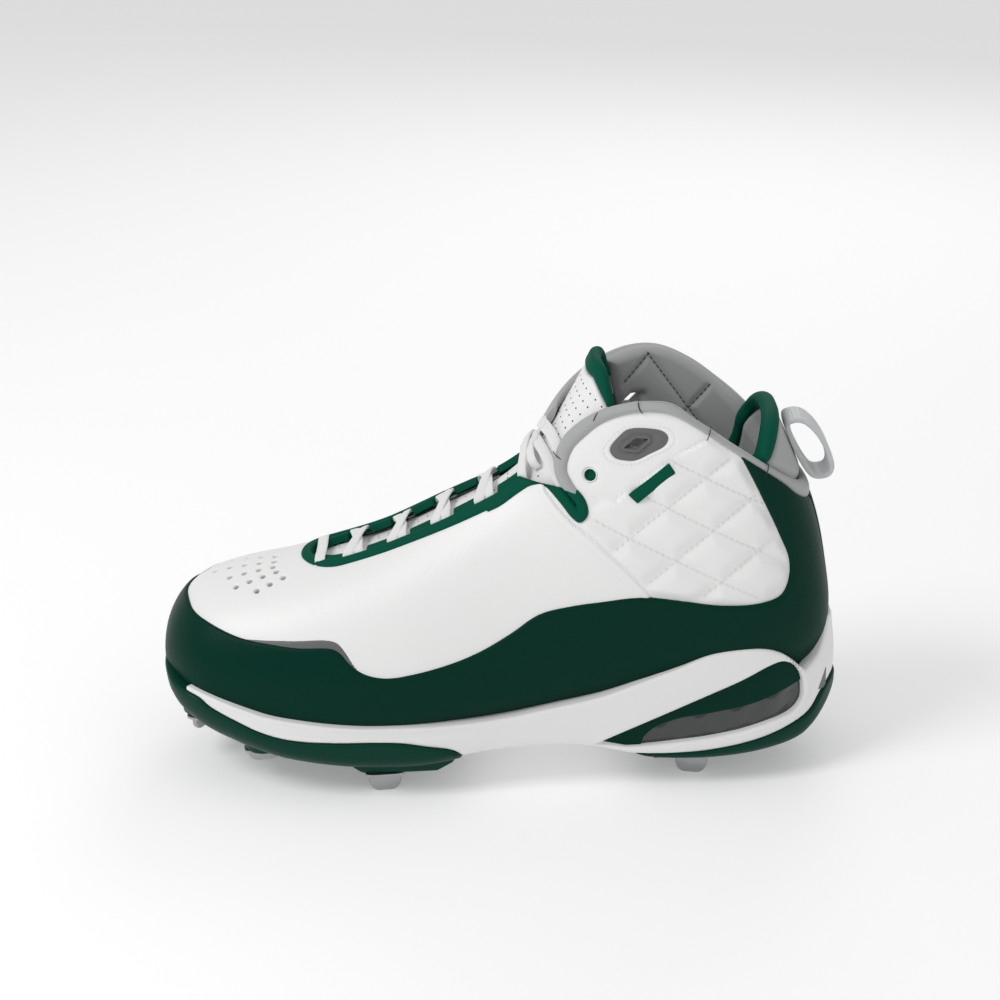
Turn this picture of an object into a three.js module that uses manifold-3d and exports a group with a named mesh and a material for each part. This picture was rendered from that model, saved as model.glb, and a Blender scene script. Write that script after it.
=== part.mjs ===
// A left baseball cleat with a high, padded collar, a cupped sole and metal blade studs.
// Millimetres, +Z up, toe towards -X, heel towards +X, outer (lateral) side towards -Y.
import * as THREE from 'three';
import { mergeVertices } from 'three/addons/utils/BufferGeometryUtils.js';
import Module from 'manifold-3d';

const wasm = await Module();
wasm.setup();

// Driving sizes
const shoeLength = 305;
const ballWidth = 98;
const heelWidth = 74;
const heelHeight = 41.5;
const instepHeight = 131;
const collarHeight = 181;

// Walls, thicknesses and clearances
const gap = 0.3;
const upperWall = 2.2;
const foxingWall = 1.5;
const trimWall = 1.0;
const liningPad = 4.5;
const rollStandProud = 1.8;
const tongueWall = 3.2;
const tongueBindingLap = 1.0;
const insoleThickness = 4;
const lastingMargin = 12;
const foxingLap = 6;
const tongueEase = 0.05;
const rollEase = 0.05;
const windowInset = 2.5;
const airInset = 3.5;

// Trim and lace sizes
const throatHalfWidth = 18;
const throatNose = 20;
const throatCentre = 0.5;
const bindingWidth = 4.5;
const laceWidth = 6;
const laceThickness = 1.4;
const laceReach = 2.6;
const laceBarTrim = 1.5;
const laceCrossSpread = 7;
const laceCrossRise = 0.8;
const tongueHalfWidth = 26;
const eyeletRadius = 3;
const tabBindingRun = 4;
const tabBindingDrop = 3.5;
const tabInner = 4.5;
const loopWidth = 16;
const loopThickness = 2.2;

// Stud sizes
const studWidth = 14.5;
const studThickness = 2.6;
const studTipWidth = 5.6;
const studFlangeWidth = 18;
const studFlangeDepth = 8;
const studFlangeThickness = 1.4;
const padRadius = 10.5;
const padDepth = 4;
const padRoot = 4;
const padFlare = 1.15;
const bladeCurveShare = 0.62;

// Heights are given as levels: 0 the ground, 1 the foot bed at the heel, 2 the top of the lacing
// and 3 the top of the collar. Widths are shares of the half width at their place.
const levelHeights = [0, heelHeight, instepHeight, collarHeight];
const ballEnd = 0.35;
const heelStart = 0.7;

// Shares of the shoe's length, and levels, where regions begin and end
const toeFront = -0.02;
const behindShare = 1.06;
const throatFront = 0.21;
const throatRear = 0.541;
const throatFloorLevel = 1.35;
const foxingHeelX = 0.93;
const foxingHeelLevel = 1.1;
const foxingBackLevel = 1.15;
const liningFront = 0.607;
const airFront = 0.705;
const airRear = 0.965;
const blockLevel = 1.45;
const skyLevel = 4.6;

// Shares of the sole's curled bottom edge
const tuckPerCurl = 1.1;
const tuckLimit = 0.6;
const curlStepIn = 0.3;
const curlStepUp = 0.4;

// Lugs: how far each stands inside the sole's outline, its root above the line, and the hidden reach
// below the ground that its own line then cuts
const lugInset = 5;
const lugDrop = 12;
const lugRoot = 4;
const lugSpread = 5;
const ballLugInner = 0.5;
const heelLugInner = 0.32;
const padInset = 2;
const padDrop = 6;

// Rows of the last at which the shells of the trims, the collar and the heel tab begin
const frontRow = 0.35;
const throatRow = 3;
const tongueRow = 4;
const ankleRow = 8;
const heelTabRow = 12;

// The last: a row for each section, from the toe tip to the collar. Each section is a ring from a
// point on the bottom or back line to a point on the top or front line. widest is the share of the
// way to its widest point, low and high are the roundness below and above it, and shift moves it
// towards the inner side.
const lastRows = [
  // backX, backZ, frontX, frontZ, widest, lateral, medial, low, high, shift
  [0.007, 1.106, 0.007, 1.128, 0.500, 0.010, 0.010, 2.0, 2.00, 0.122],
  [0.010, 1.034, 0.010, 1.240, 0.450, 0.347, 0.306, 2.2, 2.00, 0.122],
  [0.030, 0.976, 0.030, 1.363, 0.380, 0.612, 0.531, 2.6, 2.00, 0.122],
  [0.066, 0.892, 0.066, 1.469, 0.330, 0.816, 0.694, 3.0, 2.00, 0.102],
  [0.118, 0.807, 0.118, 1.536, 0.280, 0.939, 0.816, 3.2, 2.05, 0.082],
  [0.190, 0.735, 0.190, 1.598, 0.250, 1.010, 0.908, 3.4, 2.05, 0.041],
  [0.269, 0.694, 0.269, 1.676, 0.235, 1.041, 0.959, 3.4, 2.00, 0.020],
  [0.354, 0.687, 0.348, 1.765, 0.225, 1.021, 0.918, 3.4, 1.95, 0.000],
  [0.439, 0.723, 0.420, 1.877, 0.235, 0.999, 0.871, 3.4, 1.90, 0.000],
  [0.525, 0.783, 0.479, 2.000, 0.250, 1.011, 0.883, 3.4, 1.90, 0.000],
  [0.610, 0.867, 0.518, 2.180, 0.285, 1.052, 0.949, 3.4, 1.95, 0.000],
  [0.695, 0.940, 0.541, 2.320, 0.320, 1.067, 1.000, 3.3, 2.10, 0.000],
  [0.787, 1.000, 0.557, 2.450, 0.360, 1.041, 1.000, 3.1, 2.30, 0.000],
  [0.879, 1.022, 0.570, 2.580, 0.400, 1.014, 0.986, 2.8, 2.45, 0.000],
  [0.951, 1.073, 0.580, 2.700, 0.430, 0.986, 0.973, 2.5, 2.50, 0.000],
  [0.980, 1.207, 0.590, 2.820, 0.450, 0.973, 0.959, 2.3, 2.50, 0.000],
  [0.984, 1.385, 0.600, 2.940, 0.460, 0.959, 0.946, 2.2, 2.50, 0.000],
  [0.975, 1.598, 0.610, 3.060, 0.460, 0.946, 0.946, 2.2, 2.50, 0.000],
  [0.961, 1.821, 0.620, 3.180, 0.460, 0.946, 0.946, 2.2, 2.50, 0.000],
  [0.939, 2.080, 0.630, 3.300, 0.460, 0.959, 0.959, 2.2, 2.50, 0.000],
  [0.915, 2.420, 0.639, 3.420, 0.460, 0.973, 0.973, 2.2, 2.50, 0.000],
  [0.889, 2.780, 0.652, 3.540, 0.460, 0.973, 0.973, 2.2, 2.50, 0.000],
  [0.866, 3.180, 0.672, 3.680, 0.460, 0.973, 0.973, 2.2, 2.50, 0.000],
];

// The sole's outline and underside, from toe to heel. rise is how far the bottom edge curls up.
const soleRows = [
  // x, lateral, medial, bottom, rise
  [-0.005, 0.163, 0.327, 1.050, 0.160],
  [0.003, 0.408, 0.551, 0.916, 0.250],
  [0.020, 0.592, 0.704, 0.771, 0.300],
  [0.049, 0.755, 0.837, 0.639, 0.340],
  [0.108, 0.939, 0.971, 0.518, 0.320],
  [0.187, 1.057, 1.033, 0.422, 0.220],
  [0.282, 1.102, 1.051, 0.361, 0.195],
  [0.390, 1.081, 0.968, 0.361, 0.190],
  [0.459, 1.071, 0.947, 0.458, 0.150],
  [0.498, 1.071, 0.947, 0.513, 0.100],
  [0.610, 1.129, 1.039, 0.542, 0.072],
  [0.718, 1.143, 1.095, 0.373, 0.096],
  [0.813, 1.081, 1.054, 0.337, 0.096],
  [0.892, 0.973, 0.959, 0.373, 0.120],
  [0.951, 0.757, 0.743, 0.434, 0.145],
  [0.980, 0.514, 0.505, 0.542, 0.193],
  [1.000, 0.190, 0.190, 0.699, 0.193],
];

// Lines seen from the side, each point an x and a level
const foxingTopLateral = [
  [-0.02, 1.39], [0.03, 1.394], [0.04, 1.4], [0.052, 1.388], [0.075, 1.376], [0.129, 1.34],
  [0.17, 1.331], [0.213, 1.325], [0.262, 1.331], [0.274, 1.313], [0.287, 1.267], [0.307, 1.22],
  [0.337, 1.198], [0.375, 1.213], [0.429, 1.257], [0.474, 1.316], [0.516, 1.397], [0.557, 1.491],
  [0.603, 1.532], [0.644, 1.553], [0.7, 1.575], [0.759, 1.551], [0.818, 1.52], [0.876, 1.521],
  [0.905, 1.551], [0.915, 1.62], [0.915, 1.726], [0.899, 1.863], [0.876, 2.052], [0.852, 2.344],
  [0.825, 2.65],
];
const foxingToeMedial = [
  [-0.02, 1.391], [0.048, 1.385], [0.066, 1.363], [0.092, 1.33], [0.131, 1.285], [0.18, 1.246],
  [0.246, 1.212], [0.328, 1.19],
];
const stripTopLateral = [
  [0.293, 1.268], [0.281, 1.32], [0.271, 1.354], [0.258, 1.366], [0.211, 1.355], [0.17, 1.347],
  [0.14, 1.349],
];
const toePanelTopMedial = [
  [0.039, 1.455], [0.066, 1.464], [0.098, 1.43], [0.138, 1.363], [0.184, 1.296], [0.236, 1.235],
];
const midsoleTop = [
  [0.043, 1.075], [0.068, 1.06], [0.125, 1.015], [0.168, 0.96], [0.214, 0.922], [0.254, 0.892],
  [0.299, 0.872], [0.355, 0.87], [0.427, 0.872], [0.502, 0.905], [0.576, 1], [0.648, 1.054],
  [0.703, 1.125], [0.761, 1.2], [0.805, 1.259], [0.848, 1.277], [0.887, 1.27], [0.917, 1.226],
  [0.952, 1.114], [0.969, 1.165], [0.98, 1.246], [0.987, 1.33],
];
const heelBackLine = [[0.996, 1.33], [0.997, 1.162], [1.001, 0.964], [1.001, 0.6]];
const forefootOutsoleTop = [
  [-0.02, 1.165], [0, 1.145], [0.013, 1.095], [0.033, 1.056], [0.064, 1.03], [0.079, 0.99],
  [0.1, 0.925], [0.12, 0.87], [0.148, 0.788], [0.179, 0.726], [0.215, 0.697], [0.27, 0.693],
  [0.325, 0.698], [0.361, 0.682], [0.392, 0.638], [0.434, 0.565], [0.445, 0.48], [0.455, 0.3],
];
const heelOutsoleTop = [
  [0.698, 0.4], [0.767, 0.41], [0.826, 0.446], [0.885, 0.53], [0.928, 0.627], [0.961, 0.747],
  [0.98, 0.916], [1.01, 1.028],
];
const windowOutline = [
  [0.639, 0.537], [0.677, 0.67], [0.735, 0.865], [0.793, 1.027], [0.85, 1.111], [0.892, 1.178],
  [0.914, 1.193], [0.932, 1.161], [0.945, 1.094], [0.95, 1.004], [0.949, 0.901], [0.936, 0.793],
  [0.897, 0.706], [0.825, 0.595], [0.766, 0.547], [0.708, 0.511], [0.663, 0.511],
];
const airTop = [
  [0.705, 0.4], [0.711, 0.586], [0.729, 0.72], [0.765, 0.817], [0.823, 0.877], [0.881, 0.961],
  [0.938, 1.049], [0.965, 1.085],
];
const collarLateral = [
  [0.485, 1.933], [0.502, 1.964], [0.53, 2.064], [0.548, 2.14], [0.565, 2.164], [0.586, 2.064],
  [0.605, 1.964], [0.614, 1.947], [0.624, 1.981], [0.621, 2.08], [0.605, 2.2], [0.595, 2.318],
  [0.602, 2.486], [0.621, 2.63], [0.641, 2.748], [0.669, 2.848], [0.702, 2.908], [0.737, 2.906],
  [0.779, 2.772], [0.807, 2.654], [0.851, 2.462], [0.897, 2.232], [0.927, 2.04], [0.951, 1.955],
];
const collarMedial = [
  [0.485, 1.933], [0.502, 1.964], [0.53, 2.064], [0.548, 2.14], [0.565, 2.164], [0.586, 2.064],
  [0.602, 1.975], [0.611, 1.959], [0.617, 1.992], [0.611, 2.1], [0.59, 2.22], [0.576, 2.36],
  [0.584, 2.56], [0.61, 2.75], [0.646, 2.9], [0.689, 2.99], [0.728, 2.98], [0.774, 2.85],
  [0.813, 2.69], [0.852, 2.5], [0.898, 2.24], [0.928, 2.04], [0.951, 1.955],
];
const rollTopLateral = [
  [0.623, 2.1], [0.59, 2.17], [0.579, 2.336], [0.59, 2.548], [0.614, 2.726], [0.642, 2.856],
  [0.672, 2.94], [0.695, 2.974], [0.736, 2.974], [0.778, 2.818], [0.85, 2.524], [0.933, 2.116],
  [0.957, 2],
];
const rollTopMedial = [
  [0.613, 2.12], [0.577, 2.18], [0.559, 2.35], [0.569, 2.59], [0.597, 2.82], [0.633, 2.98],
  [0.682, 3.08], [0.731, 3.07], [0.78, 2.94], [0.82, 2.77], [0.859, 2.58], [0.902, 2.31],
  [0.933, 2.116], [0.957, 2],
];
const rollStart = [[0.5, 2.09], [0.7, 2.09], [0.72, 1.9], [1.05, 1.9], [1.05, 4.6], [0.5, 4.6]];
const liningLow = [[0.607, 1.62], [0.705, 1.508], [0.852, 1.453], [1.05, 1.453]];
const tongueAnkle = [
  [0.485, 1.788], [0.564, 1.832], [0.63, 1.877], [0.659, 2.08], [0.669, 2.42], [0.659, 2.74],
  [0.646, 3], [0.628, 3.232], [0.61, 3.25], [0.54, 3.26], [0.485, 2.38],
];
const tongueTopBand = [
  [0.646, 2.88], [0.623, 3.1], [0.59, 3.14], [0.54, 3.13], [0.54, 3.4], [0.68, 3.4], [0.68, 2.88],
];
const tabRegion = [
  [0.861, 2.44], [0.872, 2.6], [0.882, 2.73], [0.889, 2.785], [0.905, 2.8], [1.05, 2.8],
  [1.05, 1.7], [0.861, 1.7],
];
const loopOutline = [
  [0.948, 2.13], [0.909, 2.62], [0.921, 2.666], [0.936, 2.66], [0.952, 2.59], [0.967, 2.472],
  [0.979, 2.32], [0.983, 2.2], [0.978, 2.13], [0.963, 2.1],
];
const badgeOutline = [
  [0.655, 2.536], [0.667, 2.654], [0.681, 2.73], [0.717, 2.75], [0.729, 2.73], [0.735, 2.682],
  [0.731, 2.61], [0.71, 2.526], [0.691, 2.462], [0.677, 2.454], [0.662, 2.47],
];
const badgeHole = [[0.677, 2.57], [0.691, 2.652], [0.706, 2.656], [0.692, 2.57]];
const tagOutline = [[0.682, 2.162], [0.737, 2.46], [0.747, 2.376], [0.695, 2.086]];
const ankleEyelet = [0.628, 2.302];

// Studs: side is -1 for the outer side, top is the level of the face that each is fixed to, tip is
// the level of its end, and turn is the angle of its blade from the shoe's length.
const studRows = [
  { name: 'stud_toe_lateral', x: 0.054, y: -0.2, top: 0.552, tip: 0.357, turn: 62 },
  { name: 'stud_toe_medial', x: 0.060, y: 0.45, top: 0.552, tip: 0.357, turn: -62 },
  { name: 'stud_mid_lateral', x: 0.154, y: -0.69, top: 0.415, tip: 0.255, turn: 12 },
  { name: 'stud_mid_medial', x: 0.154, y: 0.71, top: 0.415, tip: 0.255, turn: -12 },
  { name: 'stud_ball_lateral', x: 0.333, y: -0.87, top: 0.234, tip: 0, turn: 8 },
  { name: 'stud_ball_medial', x: 0.333, y: 0.8, top: 0.234, tip: 0, turn: -8 },
  { name: 'stud_heel_lateral', x: 0.787, y: -0.72, top: 0.255, tip: 0, turn: -8 },
  { name: 'stud_heel_medial', x: 0.787, y: 0.72, top: 0.255, tip: 0, turn: 8 },
];
const ballLug = [[0.275, 0.45], [0.285, 0.31], [0.3, 0.234], [0.41, 0.234], [0.432, 0.32], [0.45, 0.5]];
const heelLug = [[0.722, 0.5], [0.728, 0.255], [0.845, 0.255], [0.858, 0.31], [0.864, 0.5]];

// Laces: the bar nearest the toe, then a crossing for each pair of slots
const laceBarPlace = 0.24;
const laceCrossings = 5;
const firstCrossing = 0.291;
const crossingPitch = 0.0635;

// Facets
const ringPoints = 18;
const laceSteps = 5;
const farOut = 150;
const lastStations = [
  0, 0.35, 0.7, 1, 1.5, 2, 3, 4, 5, 6, 7, 8, 9, 10, 11, 12, 13, 14, 15, 16, 17, 18, 19, 20, 22,
];

// Places from shares
function heightAt(level) {
  const step = Math.min(Math.max(Math.floor(level), 0), levelHeights.length - 2);
  return levelHeights[step] + (level - step) * (levelHeights[step + 1] - levelHeights[step]);
}

function halfWidthAt(x) {
  const t = THREE.MathUtils.smoothstep(x, ballEnd, heelStart);
  return THREE.MathUtils.lerp(ballWidth, heelWidth, t) / 2;
}

function sideLine(points) {
  return points.map(([x, level]) => [x * shoeLength, heightAt(level)]);
}

// A row between the rows of a table, on a smooth curve through them
function rowAt(rows, u) {
  const last = rows.length - 1;
  const i = Math.min(Math.floor(u), last - 1);
  const f = u - i;
  const p1 = rows[i];
  const p2 = rows[i + 1];
  const p0 = i > 0 ? rows[i - 1] : p1.map((v, k) => 2 * v - p2[k]);
  const p3 = i < last - 1 ? rows[i + 2] : p2.map((v, k) => 2 * v - p1[k]);
  return p1.map((v, k) => 0.5 * (2 * v + (p2[k] - p0[k]) * f
    + (2 * p0[k] - 5 * v + 4 * p2[k] - p3[k]) * f * f
    + (3 * v - p0[k] - 3 * p2[k] + p3[k]) * f * f * f));
}

// The last's own surface: u runs along the rows, angle runs round a ring from its back or bottom
const placedRows = lastRows.map((row) => {
  const [backX, backZ, frontX, frontZ, widest, lateral, medial, low, high, shift] = row;
  const half = halfWidthAt(backX);
  return [
    backX * shoeLength, heightAt(backZ), frontX * shoeLength, heightAt(frontZ), widest,
    lateral * half, medial * half, low, high, shift * half,
  ];
});

function lastPoint(u, angle) {
  const [backX, backZ, frontX, frontZ, widest, lateral, medial, low, high, shift] = rowAt(placedRows, u);
  const s = Math.sin(angle);
  const c = Math.cos(angle);
  const power = 2 / (c >= 0 ? low : high);
  const reach = Math.pow(Math.abs(c), power);
  const along = c >= 0 ? widest * (1 - reach) : widest + (1 - widest) * reach;
  const width = s >= 0 ? lateral : medial;
  const y = shift - Math.sign(s) * width * Math.pow(Math.abs(s), power);
  return new THREE.Vector3(backX + (frontX - backX) * along, y, backZ + (frontZ - backZ) * along);
}

function lastNormal(u, angle) {
  const du = 0.04;
  const da = 0.06;
  const top = lastRows.length - 1;
  const along = lastPoint(Math.min(u + du, top), angle).sub(lastPoint(Math.max(u - du, 0), angle));
  const round = lastPoint(u, angle + da).sub(lastPoint(u, angle - da));
  return along.cross(round).normalize();
}

function offsetPoint(u, angle, distance) {
  return lastPoint(u, angle).addScaledVector(lastNormal(u, angle), distance);
}

// Solids
function toSolid(geometry) {
  const bare = new THREE.BufferGeometry();
  bare.setAttribute('position', geometry.getAttribute('position'));
  bare.setIndex(geometry.index);
  const merged = mergeVertices(bare, 1e-4);
  return new wasm.Manifold(new wasm.Mesh({
    numProp: 3,
    vertProperties: new Float32Array(merged.getAttribute('position').array),
    triVerts: new Uint32Array(merged.index.array),
  }));
}

// A closed solid through rings of points, each end closed by a fan
function loft(rings) {
  const count = rings[0].length;
  const vertices = [];
  const faces = [];
  for (const ring of rings) for (const p of ring) vertices.push(p.x, p.y, p.z);
  for (let i = 0; i < rings.length - 1; i += 1) {
    for (let j = 0; j < count; j += 1) {
      const a = i * count + j;
      const b = i * count + (j + 1) % count;
      faces.push(a, b, a + count, b, b + count, a + count);
    }
  }
  const ends = [[rings[0], 0, true], [rings.at(-1), (rings.length - 1) * count, false]];
  for (const [ring, start, flip] of ends) {
    const middle = ring.reduce((sum, p) => sum.add(p), new THREE.Vector3()).divideScalar(count);
    const centre = vertices.length / 3;
    vertices.push(middle.x, middle.y, middle.z);
    for (let j = 0; j < count; j += 1) {
      const a = start + j;
      const b = start + (j + 1) % count;
      faces.push(...(flip ? [centre, b, a] : [centre, a, b]));
    }
  }
  const geometry = new THREE.BufferGeometry();
  geometry.setAttribute('position', new THREE.Float32BufferAttribute(vertices, 3));
  geometry.setIndex(faces);
  const made = toSolid(geometry);
  if (made.volume() > 0) return made;
  for (let i = 0; i < faces.length; i += 3) [faces[i], faces[i + 1]] = [faces[i + 1], faces[i]];
  geometry.setIndex(faces);
  return toSolid(geometry);
}

function lastSolid(distance, from = 0) {
  const stations = lastStations.filter((u) => u >= from);
  return loft(stations.map((u) => Array.from(
    { length: ringPoints },
    (_, j) => offsetPoint(u, (2 * Math.PI * j) / ringPoints, distance),
  )));
}

function shell(outside, inside, from = 0) {
  return lastSolid(outside, from).subtract(lastSolid(inside, Math.max(from, inside < 0 ? frontRow : 0)));
}

function extruded(outline, depth) {
  const shape = new THREE.Shape(outline.map(([a, b]) => new THREE.Vector2(a, b)));
  return new THREE.ExtrudeGeometry(shape, { depth, bevelEnabled: false, steps: 1 });
}

function indexed(geometry) {
  geometry.deleteAttribute('normal');
  geometry.deleteAttribute('uv');
  return mergeVertices(geometry, 1e-4);
}

// A prism across the shoe from an outline seen from the side, from y = low to y = high
function sidePrism(outline, low = -farOut, high = farOut) {
  const geometry = extruded(outline, high - low);
  geometry.rotateX(Math.PI / 2);
  geometry.translate(0, high, 0);
  return toSolid(indexed(geometry));
}

// An upright prism from an outline seen from above
function planPrism(outline, low, high) {
  const geometry = extruded(outline, high - low);
  geometry.translate(0, 0, low);
  return toSolid(indexed(geometry));
}

function signedArea(outline) {
  return outline.reduce((sum, [x, y], i) => {
    const [nextX, nextY] = outline[(i + 1) % outline.length];
    return sum + (x * nextY - nextX * y) / 2;
  }, 0);
}

// An outline moved out by a distance all round, or in by a negative one
function grown(outline, distance) {
  const turn = Math.sign(signedArea(outline));
  return outline.map((point, i) => {
    const here = new THREE.Vector2(...point);
    const before = new THREE.Vector2(...outline.at(i - 1));
    const after = new THREE.Vector2(...outline[(i + 1) % outline.length]);
    const enter = here.clone().sub(before).normalize();
    const leave = after.sub(here).normalize();
    const outward = new THREE.Vector2(enter.y + leave.y, -enter.x - leave.x).normalize().multiplyScalar(turn);
    const lean = Math.max(outward.x * leave.y * turn - outward.y * leave.x * turn, 0.6);
    return [here.x + (outward.x * distance) / lean, here.y + (outward.y * distance) / lean];
  });
}

function moved(outline, dx, dz) {
  return outline.map(([x, z]) => [x + dx, z + dz]);
}

function halves(lateralOutline, medialOutline) {
  return sidePrism(lateralOutline, -farOut, 0).add(sidePrism(medialOutline, 0, farOut));
}

// Regions that cut the pieces
const sky = heightAt(skyLevel);
const behind = behindShare * shoeLength;

function aboveLine(points) {
  const line = sideLine(points);
  return [...line, [behind, line.at(-1)[1] - 1], [behind, sky], [line[0][0], sky]];
}

function throatPlan(grow) {
  const half = throatHalfWidth + grow;
  const nose = throatNose + grow;
  const middle = throatFront * shoeLength + throatNose;
  const rear = throatRear * shoeLength;
  const arc = Array.from({ length: 9 }, (_, i) => {
    const angle = Math.PI / 2 + (Math.PI * i) / 8;
    return [middle + nose * Math.cos(angle), throatCentre + half * Math.sin(angle)];
  });
  return [...arc, [rear, throatCentre - half], [rear, throatCentre + half]];
}

const throatFloor = heightAt(throatFloorLevel);
const collarCutLateral = aboveLine(collarLateral);
const collarCutMedial = aboveLine(collarMedial);
const openTop = halves(collarCutLateral, collarCutMedial)
  .add(planPrism(throatPlan(0), throatFloor, sky));

// Upper: one hollow wall, open at the collar, the throat and underneath, with an eyelet hole and a
// badge hole in each side of the collar
function soleOutline(inset) {
  const rows = soleRows.map(([x, lateral, medial]) => {
    const half = halfWidthAt(x);
    return [x * shoeLength, lateral * half, medial * half];
  });
  const right = rows.map(([x, lateral]) => [x, -lateral]);
  const left = rows.map(([x, , medial]) => [x, medial]).reverse();
  return grown([...right, ...left], -inset);
}

const lastingHole = planPrism(soleOutline(lastingMargin), -1, heelHeight + lastingMargin / 3);
const badge = sideLine(badgeOutline);
const badgeVent = sidePrism(sideLine(badgeHole));
const eyeletCentre = sideLine([ankleEyelet])[0];
const eyeletHole = sidePrism(Array.from({ length: 8 }, (_, i) => [
  eyeletCentre[0] + eyeletRadius * Math.cos((i * Math.PI) / 4),
  eyeletCentre[1] + eyeletRadius * Math.sin((i * Math.PI) / 4),
]));
const upper = shell(0, -upperWall)
  .subtract(openTop)
  .subtract(lastingHole)
  .subtract(sidePrism(badge))
  .subtract(eyeletHole);

const badgePlates = shell(-gap, -upperWall, ankleRow)
  .intersect(sidePrism(grown(badge, -gap)))
  .subtract(badgeVent);

// Foxing: the glossy mudguard round the toe, the sides and the heel, over the upper
function foxingOutline(top) {
  const low = moved(sideLine(midsoleTop.slice(0, 16)), 0, -foxingLap).reverse();
  const start = low.at(-1)[1];
  return [
    ...sideLine(top), [sideLine(top).at(-1)[0], sky], [behind, sky],
    [behind, heightAt(foxingBackLevel)], [foxingHeelX * shoeLength, heightAt(foxingHeelLevel)],
    ...low, [toeFront * shoeLength, start],
  ];
}

const medialFoxing = [...foxingToeMedial, ...foxingTopLateral.slice(13)];
const foxingOut = gap + foxingWall;
const foxing = shell(foxingOut, gap)
  .intersect(halves(foxingOutline(foxingTopLateral), foxingOutline(medialFoxing)))
  .subtract(openTop);

// Thin panels between the mudguard and the upper
const trimOut = gap + trimWall;
const stripLow = moved(sideLine(foxingTopLateral.slice(5, 11)), 0, 2 * gap);
const sideStrip = shell(trimOut, gap)
  .intersect(sidePrism([...stripLow, ...sideLine(stripTopLateral)], -farOut, 0));
const toePanelLow = moved(sideLine(foxingToeMedial.slice(1)), 0, 2 * gap).reverse();
const toePanel = shell(trimOut, gap)
  .intersect(sidePrism([...sideLine(toePanelTopMedial), ...toePanelLow], 0, farOut));
const tag = shell(trimOut, gap, ankleRow)
  .intersect(sidePrism(sideLine(tagOutline), -farOut, 0));

// Tongue, under the laces and up the front of the ankle, with a bound top edge
const tongueOut = -(upperWall + 2 * gap + tongueEase);
const tongueIn = tongueOut - tongueWall;
const tongueArea = (grow) => planPrism(
  throatPlan(tongueHalfWidth - throatHalfWidth + grow), throatFloor, sky,
).add(sidePrism(grown(sideLine(tongueAnkle), grow)));
const tongueTop = sideLine(tongueTopBand);
const tongue = shell(tongueOut, tongueIn, tongueRow)
  .intersect(tongueArea(0))
  .subtract(sidePrism(grown(tongueTop, gap)));
const tongueBinding = shell(tongueOut + gap, tongueIn - tongueBindingLap, ankleRow)
  .intersect(tongueArea(tongueBindingLap))
  .intersect(sidePrism(tongueTop));

// Collar: a padded roll along the top edge and the lining below it, in one piece
const rollIn = -(upperWall + gap + rollEase);
const liningOut = -(upperWall + gap);
const liningIn = liningOut - liningPad;
function belowRoll(points) {
  return [...sideLine(points), [behind, sideLine(points).at(-1)[1]], [behind, heightAt(1)],
    [points[0][0] * shoeLength, heightAt(1)]];
}
const underRoll = halves(belowRoll(rollTopLateral), belowRoll(rollTopMedial));
const rollBand = halves(grown(collarCutLateral, -gap), grown(collarCutMedial, -gap));
const roll = shell(rollStandProud, rollIn, ankleRow)
  .intersect(underRoll)
  .intersect(rollBand)
  .intersect(sidePrism(sideLine(rollStart)));
const lining = shell(liningOut, liningIn, ankleRow)
  .intersect(underRoll)
  .intersect(sidePrism([...sideLine(liningLow), [behind, sky], [liningFront * shoeLength, sky]]))
  .subtract(tongueArea(tongueBindingLap + gap))
  .subtract(badgeVent);
const collar = roll.add(lining);

// Heel tab: a stiff pointed tab above the roll, with a bound edge and a webbing loop
const overRoll = halves(grown(belowRoll(rollTopLateral), gap), grown(belowRoll(rollTopMedial), gap));
const tabSide = sideLine(tabRegion);
const tabInside = moved(tabSide, tabBindingRun, -tabBindingDrop);
const heelTab = shell(trimWall, -tabInner, heelTabRow)
  .intersect(sidePrism(grown(tabInside, -gap)))
  .subtract(overRoll);
const heelTabBinding = shell(trimWall + tongueBindingLap, -tabInner - tongueBindingLap, heelTabRow)
  .intersect(sidePrism(tabSide))
  .subtract(sidePrism(tabInside))
  .subtract(overRoll);
const loopSide = sideLine(loopOutline);
const pullLoop = sidePrism(loopSide, -loopWidth / 2, loopWidth / 2)
  .subtract(sidePrism(grown(loopSide, -loopThickness)));

// Throat binding: a raised edge round the throat and down into the notch at the ankle
const bindingClip = sidePrism(sideLine([[0.15, 1.2], [0.648, 1.2], [0.648, 2.17], [0.15, 2.17]]));
const throatBinding = shell(trimOut, gap, throatRow)
  .intersect(
    halves(grown(collarCutLateral, bindingWidth), grown(collarCutMedial, bindingWidth))
      .add(planPrism(throatPlan(bindingWidth), throatFloor, sky)),
  )
  .intersect(bindingClip)
  .subtract(openTop);

// Laces: flat bands that lie over the binding from slot to slot
function topAt(x, y, distance) {
  let u = 6;
  let angle = Math.PI;
  for (let pass = 0; pass < 30; pass += 1) {
    const row = rowAt(placedRows, u);
    const sideways = y - row[9];
    const width = sideways < 0 ? row[5] : row[6];
    const share = Math.min(Math.abs(sideways) / width, 1);
    const lean = Math.asin(Math.pow(share, row[8] / 2));
    angle = sideways < 0 ? Math.PI - lean : Math.PI + lean;
    const step = 0.05;
    const here = lastPoint(u, angle).x;
    const slope = (lastPoint(u + step, angle).x - here) / step;
    u = THREE.MathUtils.clamp(u + (x - here) / slope, 0.5, 12);
  }
  return { point: offsetPoint(u, angle, distance), normal: lastNormal(u, angle) };
}

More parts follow.
